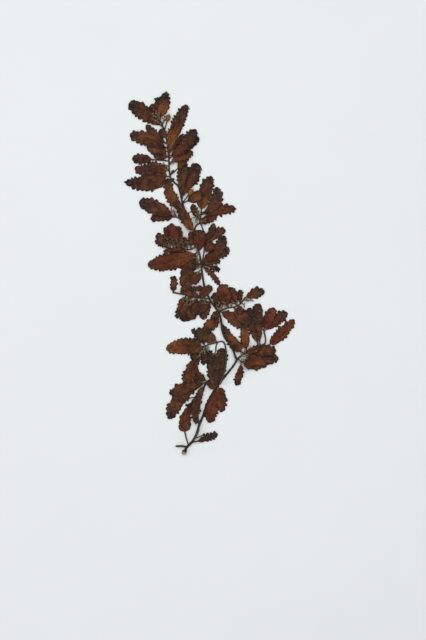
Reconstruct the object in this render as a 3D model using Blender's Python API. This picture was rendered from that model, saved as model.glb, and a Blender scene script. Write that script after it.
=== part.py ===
"""A sargassum seaweed, dried and pressed flat, lying on a table.

The plan is drawn in millimetres from the holdfast: x to the right, y up the plant. Every stem, leaf,
air bladder and fruiting twig is then laid on the heap of what is already there, from the bottom up,
so that each one finds its own height. What belongs to one frond is fused into one closed body.
"""

import math
import random

import bmesh
import bpy
import numpy as np
from mathutils import Vector

MM = 0.001

# The blade of a leaf, in millimetres. A taper is the power with which it narrows towards that end.
RIB_THICKNESS = 0.9
PETIOLE_WIDTH = 1.0
TOOTH_SPACING = 3.6
TOOTH_DEPTH = 0.9
TOOTH_SIZES = (0.7, 1.2)
NOTCH_SIZE = 0.5
SMOOTH_BASE = 0.15
FEWEST_TEETH = 3
BASE_TAPER = 0.62
TIP_TAPER = 0.5
LONG_STALK = 0.15
MARGIN_LIFT = 0.2
MARGIN_WAVE = 0.2
WAVE_LENGTH = 7.0

# Stems, fruiting twigs and bladders, in millimetres. A bladder's ring is a share of its length and a
# share of its width.
STEM_SIDES = 6
STEM_STEP = 4.0
TWIG_SIDES = 4
KNOB_SPACING = 2.0
KNOB_WIDTH = 1.25
NECK_WIDTH = 0.7
BLADDER_STALK = 0.8
BLADDER_RINGS = [(0.15, 0.7), (0.4, 0.98), (0.7, 0.9), (0.92, 0.5), (1, 0.12)]

# How one piece lies on another: the gap under it, in millimetres, how far round a high spot it stays
# level, and how steeply it then falls away or climbs
GAP = 0.45
OWN_GAP = 0.05
STEM_REACH = 2.0
BLADE_REACH = 1.0
STEM_SLOPE = 0.4
BLADE_SLOPE = 0.5
CLIMB = 0.9
SAMPLES_ACROSS = 7
SAMPLES_ALONG = 6

# The crumb of coral that the holdfast grips, in millimetres
CRUMB_CENTRE = Vector((0.2, 0.4, 1.05))
CRUMB_RADII = Vector((1.7, 1.6, 1.5))
CRUMB_ROUGHNESS = 0.06
CRUMB_CLEFT = 0.7

# Colour, roughness
DRY_FROND = ((0.105, 0.034, 0.018), 0.62)
CORAL_CRUMB = ((0.46, 0.36, 0.22), 0.9)

chance = random.Random(1993)


def stem(points, thick, thin):
    return {"points": points, "thick": thick, "thin": thin}


def leaf(root, tip, width, bow=0.0, stalk=0.1, point=TIP_TAPER, base=BASE_TAPER, under=False):
    """root and tip are places in plan; bow is how far the rib swings left of the line between them,
    stalk is the share of the length that is only petiole, and point and base are the tapers towards
    the tip and the root. A leaf that is under its own frond is pressed down beside the stems, which
    then stand out of its upper face."""
    return {"root": root, "tip": tip, "width": width, "bow": bow, "stalk": stalk, "point": point,
            "base": base, "under": under}


def twig(root, tip):
    return {"root": root, "tip": tip}


def bladder(root, centre, width, length):
    return {"root": root, "centre": centre, "width": width, "length": length}


# Each frond: its stems, then its leaves, bladders and fruiting twigs, each list from the bottom of
# the heap up. A side stem, leaf, bladder or twig grows from the nearest point of the frond's stems.
FRONDS = {
    "main_stem": {
        "stems": [
            stem([(0.95, 2.42), (2, 4.3), (5.7, 8.2), (8.2, 13), (9.9, 18.5), (12.4, 24.5), (14.7, 31.5),
                  (18.6, 39.2), (22.6, 45), (27.2, 50.8), (31.8, 56.6), (34.2, 60.4)], 1.7, 1.3),
            stem([(1.8, 4.4), (-1.2, 5), (-5.2, 4.8)], 1.3, 1.2),
        ],
        "leaves": [
            leaf((2.9, 5.6), (7.4, 36), 8.2, bow=4.6, stalk=0.27, point=1.25, base=0.35),
            leaf((4.8, 7.2), (21.8, 12.8), 4.9, bow=-0.5, stalk=0.25),
            leaf((22.3, 44), (24, 26.7), 7.2, bow=0.8, base=0.28, under=True),
            leaf((20.4, 42), (16.3, 19.9), 8.8, under=True),
            leaf((20.1, 41.4), (15.7, 47.6), 4.8, base=0.35, point=0.35),
            leaf((20.6, 42), (15.6, 67), 8.6, bow=-1.1, base=0.35),
            leaf((22, 43.5), (25.2, 68.2), 8.8, bow=0.5),
        ],
        "twigs": [twig((7, 9.4), (12.9, 12.3))],
    },
    "left_shoot": {
        "stems": [
            stem([(6.5, 9.4), (9.2, 14.5), (9.6, 19.5), (8.6, 27), (9.4, 35.5), (12, 42),
                  (15.3, 46.6)], 1.2, 1.2),
        ],
        "leaves": [
            leaf((15.3, 46.6), (2, 54.8), 6.6, bow=0.2),
            leaf((15, 46.3), (-9.8, 22.3), 9, bow=-4.6, base=0.8),
            leaf((14.8, 46), (-9.4, 38.6), 7.6, bow=-0.8),
            leaf((15.2, 46.4), (8, 19.4), 5.8, bow=-3.1),
        ],
        "twigs": [twig((9.6, 37.2), (3, 35.8)), twig((9.2, 35), (1.6, 31.4))],
    },
    "left_branch": {
        "stems": [
            stem([(23.6, 45.6), (25.5, 50.8), (26.8, 56), (27.4, 62), (27.1, 67), (26.3, 71),
                  (24.5, 72.6), (21.8, 72), (18, 71), (14.4, 69.8), (10, 66.5)], 1.1, 0.9),
            stem([(21.8, 72), (20.8, 69.4), (20.6, 66)], 0.9, 0.9),
        ],
        "leaves": [
            leaf((9.8, 66.8), (0.8, 45.8), 7.8, bow=0.3, point=0.32),
            leaf((12.5, 68.4), (4.7, 61), 7),
            leaf((13.5, 69), (-11.5, 67.5), 10.7, bow=-1.1, base=0.32),
            leaf((14.5, 69.8), (12.6, 57.2), 4.4),
            leaf((13.8, 69.4), (4.8, 80.2), 4.2, bow=-0.9),
            leaf((21.8, 72.1), (7, 78.4), 9, bow=-0.8),
        ],
        "twigs": [
            twig((15, 70), (10.8, 64.8)), twig((13.4, 69.2), (13.3, 64.6)), twig((12, 68), (9.4, 62.6)),
            twig((15.6, 70.2), (15.4, 66.4)), twig((20.6, 66.6), (19.2, 63.8)),
        ],
    },
    "right_branch": {
        "stems": [
            stem([(34.4, 60.9), (37.8, 64), (42.5, 67), (47, 68.9), (51, 69.7), (54.4, 69.6)], 1.3, 1.0),
            stem([(35, 61.5), (36, 60.4), (37, 59.4)], 1.0, 0.9),
            stem([(52.2, 69.9), (52.8, 73), (52.4, 76.5), (51.4, 80.5)], 1.0, 0.9),
        ],
        "leaves": [
            leaf((36.9, 59.6), (33.7, 44), 5, bow=0.8, stalk=0.12),
            leaf((37.2, 59.5), (54.5, 60), 6.6, bow=-2.5, base=0.45),
            leaf((37.2, 59.6), (61.2, 61.5), 9.2, bow=0.5, base=0.45),
            leaf((42.5, 66.8), (59.6, 66.4), 7.8, bow=0.1, base=0.5),
            leaf((38.5, 64.6), (49.4, 69.2), 4.4, bow=-0.4),
            leaf((54, 69.7), (71.3, 86.7), 7.4, bow=-0.8, base=0.35),
            leaf((51.7, 79), (66.9, 91), 7.6, bow=0.9),
            leaf((51.5, 80), (58.3, 94.3), 7.8, bow=0.2),
            leaf((40.6, 66), (39.4, 89.5), 6.1, bow=0.9, base=0.35),
            leaf((48.2, 69.4), (42.1, 94.3), 8.4, base=0.8),
            leaf((49, 69.5), (47.7, 97), 6.2, bow=-0.2, point=0.32, base=0.85),
            leaf((38.4, 64.6), (23.9, 84.8), 6.8, bow=0.9, point=0.95, base=0.35),
        ],
        "twigs": [
            twig((36.5, 63), (39.2, 66.6)), twig((36.4, 62.6), (41, 63.6)), twig((36.2, 60.4), (40.6, 61.4)),
            twig((41, 66.2), (43, 68.6)), twig((47.5, 69.1), (46.6, 66.2)),
        ],
    },
    "middle_axis": {
        "stems": [
            stem([(33.6, 62), (32.1, 66), (29.8, 70.8), (26.4, 75.2), (24.7, 80), (24.1, 86),
                  (22.2, 91.8), (17.8, 97.8), (14.8, 104), (13.1, 108.8)], 1.4, 1.3),
            stem([(22.2, 91.6), (27.5, 94), (33, 95), (37, 97.4), (39.4, 101)], 1.1, 0.9),
            stem([(16.4, 100.2), (11.5, 100.6), (6.5, 101.8), (1.5, 102.8), (-2.6, 103.4), (-7.4, 104.3)],
                 1.1, 1.1),
        ],
        "leaves": [
            leaf((23, 89.6), (13, 79.2), 7.4, bow=0.4),
            leaf((21.6, 92.6), (17.8, 86.8), 3.8),
            leaf((22.8, 91.8), (37.5, 81.4), 7.8, bow=1.7),
            leaf((32, 94.9), (43, 84.2), 8, bow=-0.5),
            leaf((35, 96.2), (37.4, 90), 4.6),
            leaf((25, 93), (19.3, 104), 6.4),
            leaf((34, 95.6), (28.8, 107.4), 8.4),
            leaf((29, 94.4), (24, 109.5), 9.2, bow=0.2),
            leaf((36.4, 97), (36, 106), 3.6),
            leaf((39.2, 100.6), (52.2, 104.6), 6.8, bow=0.8),
            leaf((1.5, 102.8), (-4.6, 87.4), 5.8, base=0.4),
            leaf((4.5, 102.3), (-0.6, 85.4), 8.4),
            leaf((9, 101.2), (4, 86.7), 8),
            leaf((17.4, 98.4), (12.2, 86.6), 5.4, bow=-0.5),
            leaf((17.2, 98.8), (4.6, 91), 9),
            leaf((11.5, 100.6), (-2.4, 105), 4.6, bow=-0.6),
            leaf((9.5, 101.1), (18.2, 107.9), 6.2, bow=0.3),
            leaf((13.6, 107.2), (4.2, 106.6), 3.6),
            leaf((-7, 104.2), (-6.1, 115), 4.6, bow=0.1, base=0.4),
        ],
        "twigs": [
            twig((3, 102.6), (1.3, 96.2)), twig((5, 102.2), (3.8, 95.6)), twig((8, 101.4), (5.6, 97.4)),
            twig((37, 97.4), (39, 96.2)), twig((38, 98.9), (44, 99.2)), twig((38.8, 100), (41.8, 100.4)),
            twig((30.4, 94.6), (31.6, 98.2)), twig((33.4, 95.2), (34.6, 98.4)), twig((28, 94.2), (26, 97.6)),
            twig((23, 90.8), (20.6, 88.8)), twig((22, 92), (24.6, 95.8)),
            twig((12.5, 100.6), (14, 96.8)), twig((1.5, 102.8), (-1, 98.4)), twig((20.4, 94.4), (23, 97.4)),
        ],
    },
    "upper_axis": {
        "stems": [
            stem([(12.8, 110.1), (11.9, 116), (11.2, 122), (10.3, 128), (8.6, 134), (7.2, 139),
                  (6.8, 141.5)], 1.3, 1.2),
            stem([(11, 123.4), (12.3, 126), (12.9, 130), (13.5, 138), (12.6, 144), (11.1, 148)], 0.9, 0.9),
        ],
        "leaves": [
            leaf((9.4, 131.6), (1.2, 104.8), 9.2, bow=-2.6),
            leaf((9.8, 130.4), (-23.4, 122.2), 11, bow=1.7, base=0.5),
            leaf((11.8, 117), (4.8, 110), 6.4, bow=-0.6),
            leaf((11.2, 122.6), (2.4, 121.8), 6.8),
            leaf((11.4, 121.6), (23, 109), 3.7, bow=1.2),
            leaf((11.2, 122.6), (23.4, 119), 3.8, bow=-0.2, stalk=0.45),
            leaf((11.2, 122.8), (23.6, 124.6), 3.8),
            leaf((11.2, 123), (29.5, 132), 8, bow=1.4, point=0.4),
            leaf((11.3, 123.6), (26, 141), 7.6, bow=-3, stalk=0.25),
            leaf((12.9, 130.6), (19.2, 136), 6.4),
            leaf((13.3, 135), (27, 144.2), 6.8, bow=2.1),
            leaf((13.4, 137), (19.3, 148.9), 5.2, bow=-0.9),
            leaf((9.8, 130), (9.6, 144.6), 9.8, point=0.35),
        ],
        "twigs": [
            twig((10.9, 124.6), (7.4, 126.8)), twig((11.3, 121.4), (8.2, 119.9)),
            twig((10.4, 127.4), (8.2, 131.6)), twig((11.5, 119.6), (8.6, 116.6)),
        ],
    },
    "left_spray": {
        "stems": [
            stem([(8.2, 133.8), (3.5, 131.9), (-1, 132.2), (-5, 133), (-9, 132.4), (-11.4, 131.6)],
                 1.0, 0.9),
        ],
        "leaves": [
            leaf((4.6, 132.3), (4.2, 143.6), 3.8),
            leaf((3, 132), (-13.2, 130.9), 3.6, bow=-0.2),
            leaf((-0.2, 132.8), (0.4, 140), 5),
            leaf((-10.6, 132.4), (-12.6, 128.4), 3.2),
            leaf((-10.2, 132.6), (-18.8, 137.6), 4.2, bow=-0.6, stalk=0.2),
            leaf((-9.6, 132.9), (-16.9, 142.8), 5.2, bow=0.7),
            leaf((-6.4, 133.4), (-12.8, 146.2), 5.8, bow=-0.4),
            leaf((-1.6, 132.9), (-3.6, 147.2), 5.2, bow=0.3),
            leaf((-4.8, 133.5), (-8.2, 149), 6.6),
        ],
        "twigs": [
            twig((-2.4, 132.9), (-4.6, 138.4)), twig((-6.4, 133.4), (-7.9, 139.2)),
            twig((0.6, 132.4), (-1.4, 137)), twig((-8.4, 133), (-10.8, 138.8)), twig((2.4, 132), (2.2, 136)),
        ],
    },
    "right_spray": {
        "stems": [stem([(6.9, 145), (8, 147.4), (10.2, 149.4), (10.8, 153), (11.2, 156.4)], 1.2, 0.9)],
        "leaves": [
            leaf((10.4, 150.4), (5.6, 161.4), 4.8, bow=0.7),
            leaf((9.6, 148.9), (21.4, 153.1), 5.6, bow=0.6, base=0.4),
            leaf((11, 154.4), (33.8, 158.2), 7.2, bow=1.2, point=0.7),
            leaf((11.1, 155.6), (20.9, 172.4), 7.8, bow=-4.6),
            leaf((11.1, 155.8), (17.9, 179.4), 9, bow=1.3, base=0.45),
        ],
        "twigs": [
            twig((10.4, 150.6), (7.2, 152.8)), twig((10.8, 153.4), (8.6, 157)),
            twig((10.7, 152), (7.8, 155)), twig((10, 149.2), (13.6, 150.6)), twig((9, 148.5), (7.6, 150.4)),
        ],
    },
    "top_axis": {
        "stems": [
            stem([(6.7, 142.4), (4.2, 149.5), (1.2, 155.8), (-0.8, 161.6), (-2, 167), (-3.6, 172.6),
                  (-6.4, 175.6), (-8.7, 178.6), (-9.5, 184), (-9.7, 190), (-10.2, 196), (-11.1, 202),
                  (-12.4, 208), (-14.2, 213), (-16, 216.4)], 1.3, 0.9),
            stem([(3.6, 150.6), (-0.6, 150.8), (-4.2, 152.7), (-7.2, 153.2)], 0.9, 0.9),
        ],
        "leaves": [
            leaf((-6.2, 153), (-21.7, 151.9), 4.6, base=0.4),
            leaf((-6.8, 153.3), (-14.6, 161.6), 5, bow=0.9),
            leaf((-7, 153.3), (-28.9, 163), 9.8, bow=-0.6),
            leaf((6.8, 142), (-4, 163.2), 6.8, bow=0.8, base=0.45),
            leaf((1, 156.4), (-10.4, 178), 7, bow=3.5, base=0.5),
            leaf((-8.8, 179), (-31.8, 184.8), 8.8, bow=0.6, base=0.45),
            leaf((-8.2, 177.8), (-38.7, 175.7), 10.2, bow=1.9, point=0.85),
            leaf((-9.5, 183), (-24, 186.6), 7, base=0.4),
            leaf((-9.7, 189.2), (-33.5, 190.8), 6.6, bow=-0.3, stalk=0.47),
            leaf((-9.8, 191.6), (-19.8, 194.4), 7),
            leaf((-10.1, 195), (-24, 198.8), 8.2),
            leaf((-10.9, 200.2), (-24.3, 212.7), 5.4, bow=1.2),
            leaf((-10.4, 197.2), (-35, 206.3), 9, bow=-1.1),
            leaf((-11.6, 203.6), (-15.2, 209.9), 5.4),
            leaf((-0.9, 161.9), (12, 168.8), 7.2, bow=-0.3, stalk=0.26),
            leaf((-2.2, 168), (9.6, 179.2), 6, bow=0.5),
            leaf((-1.4, 164), (9.8, 187), 9.2, bow=1.6, point=0.35),
            leaf((-1.8, 166), (0, 191), 6.8, bow=0.1),
            leaf((-9, 180), (1.2, 191.7), 5.4, bow=-0.9, stalk=0.44),
            leaf((-9.6, 188), (5.8, 195.2), 5.8),
            leaf((-9.8, 190.6), (9.8, 204.4), 7.2),
            leaf((-9.9, 192), (7.6, 209.8), 8.4, bow=-1.9),
            leaf((-9.9, 193), (-0.3, 206.7), 3.4, bow=0.5),
            leaf((-10, 194), (2, 225.5), 8, bow=1.4, point=0.4, base=0.45),
            leaf((-14.8, 214.2), (-20.9, 226.2), 6.4),
            leaf((-13.4, 211.2), (-35.2, 227.2), 9.5, bow=-0.1, point=0.4),
            leaf((-15.8, 216), (-16.8, 230.5), 3.8, bow=0.7, stalk=0.3),
            leaf((-15.7, 215.8), (-11.4, 234.2), 7.8, bow=-0.3, point=0.7),
        ],
        "bladders": [
            bladder((-12.6, 208.8), (-10.2, 216.8), 3.4, 4.8),
            bladder((-0.9, 162.2), (4.4, 168.8), 3.6, 4.8),
            bladder((-8.2, 177.9), (-6.9, 177.4), 1.6, 1.6),
            bladder((-9, 180.2), (-7.2, 182.2), 2.0, 2.2),
        ],
        "twigs": [
            twig((-5, 152.9), (-8.4, 158.4)), twig((-4.6, 152.7), (-6.6, 157.6)),
            twig((-9.6, 185.6), (-13.6, 187)), twig((-9.6, 186.6), (-6.2, 188.6)),
            twig((-9.5, 184.4), (-12.4, 183.2)), twig((-10.1, 195.2), (-5.2, 203.2)),
            twig((-13.8, 212), (-12.4, 217.4)),
            twig((-14.6, 213.8), (-19.8, 215.6)), twig((-15.2, 215), (-20.2, 219.4)),
            twig((-15.6, 215.6), (-18.4, 221.4)), twig((-15, 214.6), (-16.9, 219.4)),
        ],
    },
}


class Heap:
    """A map of how high the heap of pieces reaches over each spot of the table."""

    CELL = 0.5
    LOW = np.array([-50.0, -12.0])
    SHAPE = (260, 520)

    def __init__(self):
        # What lies on the bare table needs no gap under it
        self.height = np.full(self.SHAPE, -GAP)
        self.below = self.height.copy()

    def cells(self, plan):
        index = np.floor((plan - self.LOW) / self.CELL).astype(int)
        return np.clip(index, 1, np.array(self.SHAPE) - 2)

    def start_frond(self):
        """Remembers the heap of the other fronds, which this one must not touch."""
        self.below = self.height.copy()

    def top(self, level, plan):
        """The highest of the nine cells about each point."""
        i, j = self.cells(plan).T
        around = [level[i + di, j + dj] for di in (-1, 0, 1) for dj in (-1, 0, 1)]
        return np.max(around, axis=0)

    def rest(self, level, spots, samples, clearance, reach, slope):
        """Heights at the spots of something stiff that lies on the heap under the samples."""
        need = self.top(level, samples) + clearance
        away = np.linalg.norm(spots[:, None] - samples[None], axis=2)
        return np.max(need - slope * np.maximum(0, away - reach), axis=1)

    def add(self, plan, heights):
        i, j = self.cells(plan).T
        np.maximum.at(self.height, (i, j), heights)


def lie(heap, spots, samples, clearance, reach, slope, root):
    """Heights of a piece: clear of other fronds, and over its own frond's pieces as far as it can
    climb from its root, a place (x, y, z)."""
    clear = heap.rest(heap.below, spots, samples, clearance + GAP, reach, CLIMB)
    over_own = heap.rest(heap.height, spots, samples, clearance + OWN_GAP, reach, slope)
    climb = root[2] + CLIMB * np.linalg.norm(spots - root[:2], axis=1)
    return np.maximum(clear, np.minimum(over_own, climb))


def smooth_line(points, step):
    """A Catmull-Rom curve through the points, with a point about every step."""
    p = np.array(points, float)
    ends = [2 * p[0] - p[1], *p, 2 * p[-1] - p[-2]]
    line = []
    for a, b, c, d in zip(ends, ends[1:], ends[2:], ends[3:]):
        count = max(1, round(np.linalg.norm(c - b) / step))
        for t in np.arange(count) / count:
            line.append(0.5 * (2 * b + (c - a) * t + (2 * a - 5 * b + 4 * c - d) * t**2
                               + (3 * b - a - 3 * c + d) * t**3))
    return np.array([*line, p[-1]])


def nearest(grown, root):
    """The place (x, y, z) on the frond's grown stems that is nearest to root in plan."""
    best = None
    for line in grown:
        a, b = line[:-1], line[1:]
        along = np.clip(np.sum((root - a[:, :2]) * (b - a)[:, :2], axis=1)
                        / np.sum((b - a)[:, :2] ** 2, axis=1), 0, 1)
        spots = a + along[:, None] * (b - a)
        away = np.linalg.norm(spots[:, :2] - root, axis=1)
        k = int(np.argmin(away))
        if best is None or away[k] < best[0]:
            best = (away[k], spots[k])
    return best[1]


def dressed(name, mesh, material):
    """An object of the mesh in the scene, with its material."""
    mesh.materials.append(material)
    made = bpy.data.objects.new(name, mesh)
    bpy.context.scene.collection.objects.link(made)
    return made


def dressed_bmesh(name, bm, material):
    bmesh.ops.scale(bm, vec=(MM, MM, MM), verts=bm.verts)
    bmesh.ops.recalc_face_normals(bm, faces=bm.faces)
    mesh = bpy.data.meshes.new(name)
    bm.to_mesh(mesh)
    bm.free()
    return dressed(name, mesh, material)


def tube(name, line, widths, sides, material):
    """A closed round tube along the 3-D line, with a width at each of its points."""
    ahead = np.gradient(line, axis=0)
    side = np.cross(ahead, [0, 0, 1])
    side /= np.linalg.norm(side, axis=1)[:, None]
    up = np.cross(side, ahead)
    up /= np.linalg.norm(up, axis=1)[:, None]
    turns = [2 * math.pi * (k + 0.5) / sides for k in range(sides)]
    bm = bmesh.new()
    rings = []
    for place, width, s, u in zip(line, widths, side, up):
        ring = [bm.verts.new(place + width / 2 * (math.cos(t) * s + math.sin(t) * u)) for t in turns]
        rings.append([bm.edges.new((ring[k - 1], ring[k])) for k in range(sides)])
    for one, other in zip(rings, rings[1:]):
        bmesh.ops.bridge_loops(bm, edges=one + other)
    for end in (rings[0], rings[-1]):
        bmesh.ops.contextual_create(bm, geom=end)
    return dressed_bmesh(name, bm, material)


def strip(line, width):
    """Spots all along the line, on it and on both sides of it."""
    share = np.linspace(0, 1, SAMPLES_ALONG)[:, None]
    spots = []
    for a, b in zip(line, line[1:]):
        side = np.zeros(len(a))
        side[:2] = (b - a)[1::-1] * (-1, 1) / np.linalg.norm((b - a)[:2])
        spots += [a + share * (b - a) + off * width * side for off in (-0.5, 0, 0.5)]
    return np.concatenate(spots)


def lay_line(heap, plan, width, reach, root):
    """The 3-D line of a side stem or twig that grows from its root."""
    heights = lie(heap, plan, strip(plan, width), width / 2, reach, STEM_SLOPE, root)
    heights[0] = root[2]
    return np.column_stack([plan, heights])


def mark_line(heap, line, widths):
    """Adds a laid stem or twig to the heap."""
    for k in range(len(line) - 1):
        width = max(widths[k:k + 2])
        spots = strip(line[k:k + 2], width)
        heap.add(spots[:, :2], spots[:, 2] + width / 2)


def grow_stem(heap, spec, grown, material):
    """A frond's first stem lies on the heap all along, and a side stem climbs from its root."""
    plan = smooth_line(spec["points"], STEM_STEP)
    widths = np.linspace(spec["thick"], spec["thin"], len(plan))
    if grown:
        root = nearest(grown, plan[0])
        plan[0] = root[:2]
        line = lay_line(heap, plan, spec["thick"], STEM_REACH, root)
    else:
        samples = strip(plan, spec["thick"])
        heights = heap.rest(heap.height, plan, samples, GAP + spec["thick"] / 2, STEM_REACH, STEM_SLOPE)
        line = np.column_stack([plan, heights])
    mark_line(heap, line, widths)
    grown.append(line)
    return tube("stem", line, widths, STEM_SIDES, material)


def grow_twig(heap, spec, grown, material):
    """A knobbly fruiting twig: a bare neck, then wide and narrow rings by turns."""
    root = nearest(grown, np.array(spec["root"], float))
    reach = np.array(spec["tip"], float) - root[:2]
    knobs = max(2, round(np.linalg.norm(reach) / KNOB_SPACING))
    plan = root[:2] + np.linspace(0, 1, 2 * knobs)[:, None] * reach
    widths = [NECK_WIDTH, NECK_WIDTH] + [NECK_WIDTH, KNOB_WIDTH] * (knobs - 1)
    line = lay_line(heap, plan, KNOB_WIDTH, BLADE_REACH, root)
    mark_line(heap, line, widths)
    return tube("twig", line, widths, TWIG_SIDES, material)


def grow_bladder(heap, spec, grown, material):
    """An egg-shaped air bladder on its stalk, turned about the stalk's line."""
    root = nearest(grown, np.array(spec["root"], float))
    centre = np.array(spec["centre"], float)
    away = np.linalg.norm(centre - root[:2])
    ahead = (centre - root[:2]) / away
    length, width = spec["length"], spec["width"]
    neck = away - length / 2
    along = np.array([0, neck / 2, neck] + [neck + length * share for share, _ in BLADDER_RINGS])
    widths = [BLADDER_STALK] * 3 + [width * share for _, share in BLADDER_RINGS]
    plan = root[:2] + along[:, None] * ahead
    samples = strip(plan[2:], width)
    level = lie(heap, centre[None], samples, width / 2, width / 2, STEM_SLOPE, root)[0]
    climb = np.clip(along / neck, 0, 1)
    line = np.column_stack([plan, root[2] + climb * (max(level, root[2]) - root[2])])
    mark_line(heap, line, widths)
    return tube("bladder", line, widths, STEM_SIDES, material)


def tooth_rows(stalk, length):
    """Shares of a leaf's length at its rows of vertices: the petiole's, then two for each tooth."""
    teeth = max(FEWEST_TEETH, round(length * (1 - stalk) / TOOTH_SPACING))
    petiole = [0, stalk / 2] if stalk > LONG_STALK else [0]
    blade = stalk + (1 - stalk) * (np.arange(2 * teeth) + 0.4) / (2 * teeth)
    return np.array([*petiole, *blade])


def half_width(spec, on_blade):
    """Half the blade's width, without teeth, at shares of the blade's length."""
    base, point = spec["base"], spec["point"]
    peak = base / (base + point)
    swell = (on_blade / peak) ** base * ((1 - on_blade) / (1 - peak)) ** point
    return np.maximum(PETIOLE_WIDTH / 2, spec["width"] / 2 * swell)


def toothed(half, on_blade, margin):
    """The half widths cut into teeth, which stand by turns on margin 0 and margin 1."""
    sizes = [chance.uniform(*TOOTH_SIZES) if (k + margin) % 2 else -NOTCH_SIZE for k in range(len(half))]
    cut = half + TOOTH_DEPTH / 2 * np.array(sizes) * (on_blade > SMOOTH_BASE)
    return np.maximum(PETIOLE_WIDTH / 2, cut)


def blade_plan(spec, root):
    """In plan: the left margin, the rib and the right margin, row by row, and how far along each is."""
    run = np.array(spec["tip"], float) - root[:2]
    length = np.linalg.norm(run)
    across = np.array([-run[1], run[0]]) / length
    rows = tooth_rows(spec["stalk"], length)
    rib = root[:2] + rows[:, None] * run + 4 * spec["bow"] * (rows * (1 - rows))[:, None] * across
    ahead = np.gradient(rib, axis=0)
    side = np.column_stack([-ahead[:, 1], ahead[:, 0]]) / np.linalg.norm(ahead, axis=1)[:, None]
    on_blade = np.clip((rows - spec["stalk"]) / (1 - spec["stalk"]), 0, 1)
    half = half_width(spec, on_blade)
    left, right = (toothed(half, on_blade, margin)[:, None] for margin in (0, 1))
    return rib + left * side, rib, rib - right * side, rows * length


def across_blade(left, rib, right):
    """Spots all over a blade, or its heights there, and how far each is from a margin to the rib."""
    spots, shares = [], []
    for edge in (left, right):
        for share in np.linspace(0, 1, SAMPLES_ACROSS):
            line = edge + share * (rib - edge)
            spots += [line, (line[1:] + line[:-1]) / 2]
            shares += [share] * (2 * len(line) - 1)
    return np.concatenate(spots), np.array(shares)


def blade_faces(rows):
    """Triangles of a blade whose rows hold left margin, rib top, right margin and rib underside, with
    the tip last. Its two faces are split along the same diagonals."""
    faces = [[0, 3, 1], [1, 3, 2]]
    for k in range(rows - 1):
        a, b = 4 * k, 4 * k + 4
        for rib, turned in ((1, True), (3, False)):
            for face in ([a, b, a + rib], [b, b + rib, a + rib],
                         [a + rib, b + rib, b + 2], [a + rib, b + 2, a + 2]):
                faces.append(face[::-1] if turned else face)
    a, tip = 4 * (rows - 1), 4 * rows
    return faces + [[a + 1, tip, a], [a + 2, tip, a + 1], [a, tip, a + 3], [a + 3, tip, a + 2]]


def grow_leaf(heap, spec, grown, material):
    """A toothed blade with a raised rib on both faces and sharp margins, laid on the heap."""
    root = nearest(grown, np.array(spec["root"], float))
    tip = np.array(spec["tip"], float)
    left, rib, right, along = blade_plan(spec, root)
    rows = len(rib)
    spots = np.concatenate([left, rib, right, tip[None]])
    samples, shares = across_blade(left, rib, right)
    thick = shares * RIB_THICKNESS / 2
    if spec["under"]:
        heights = heap.rest(heap.below, spots, samples, thick + GAP, BLADE_REACH, BLADE_SLOPE)
    else:
        heights = lie(heap, spots, samples, thick, BLADE_REACH, BLADE_SLOPE, root)
    heights[[0, rows, 2 * rows]] = root[2]

    grown_out = np.clip(3 * along / along[-1], 0, 1)
    phase = 2 * math.pi * (along / WAVE_LENGTH + chance.random())
    z_left = heights[:rows] + grown_out * (MARGIN_LIFT + MARGIN_WAVE * np.sin(phase))
    z_rib = heights[rows:2 * rows]
    z_right = heights[2 * rows:3 * rows] + grown_out * (MARGIN_LIFT + MARGIN_WAVE * np.cos(phase))
    z_tip = heights[-1]
    heap.add(samples, across_blade(z_left, z_rib + RIB_THICKNESS / 2, z_right)[0])
    heap.add(tip[None], [z_tip])

    corners = [
        np.column_stack([left, z_left]), np.column_stack([rib, z_rib + RIB_THICKNESS / 2]),
        np.column_stack([right, z_right]), np.column_stack([rib, z_rib - RIB_THICKNESS / 2]),
    ]
    vertices = np.concatenate([np.stack(corners, axis=1).reshape(-1, 3), [[*tip, z_tip]]]) * MM
    mesh = bpy.data.meshes.new("leaf")
    mesh.from_pydata(vertices.tolist(), [], blade_faces(rows))
    return dressed("leaf", mesh, material)


def fuse(name, pieces):
    """One Boolean union joins a frond's stems, leaves, bladders and twigs in one closed body."""
    scene = bpy.context.scene.collection
    body, rest = pieces[0], bpy.data.collections.new(name + "_pieces")
    scene.children.link(rest)
    for piece in pieces[1:]:
        rest.objects.link(piece)
        scene.objects.unlink(piece)
    union = body.modifiers.new("union", "BOOLEAN")
    union.operation = "UNION"
    union.operand_type = "COLLECTION"
    union.collection = rest
    union.solver = "EXACT"
    bpy.context.view_layer.objects.active = body
    bpy.ops.object.modifier_apply(modifier=union.name)
    for piece in list(rest.objects):
        bpy.data.objects.remove(piece)
    bpy.data.collections.remove(rest)
    body.name = body.data.name = name


def grow_frond(heap, name, frond, material):
    heap.start_frond()
    grown = []
    pieces = [grow_stem(heap, spec, grown, material) for spec in frond["stems"]]
    pieces += [grow_leaf(heap, spec, grown, material) for spec in frond["leaves"]]
    pieces += [grow_bladder(heap, spec, grown, material) for spec in frond.get("bladders", [])]
    pieces += [grow_twig(heap, spec, grown, material) for spec in frond["twigs"]]
    fuse(name, pieces)


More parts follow.
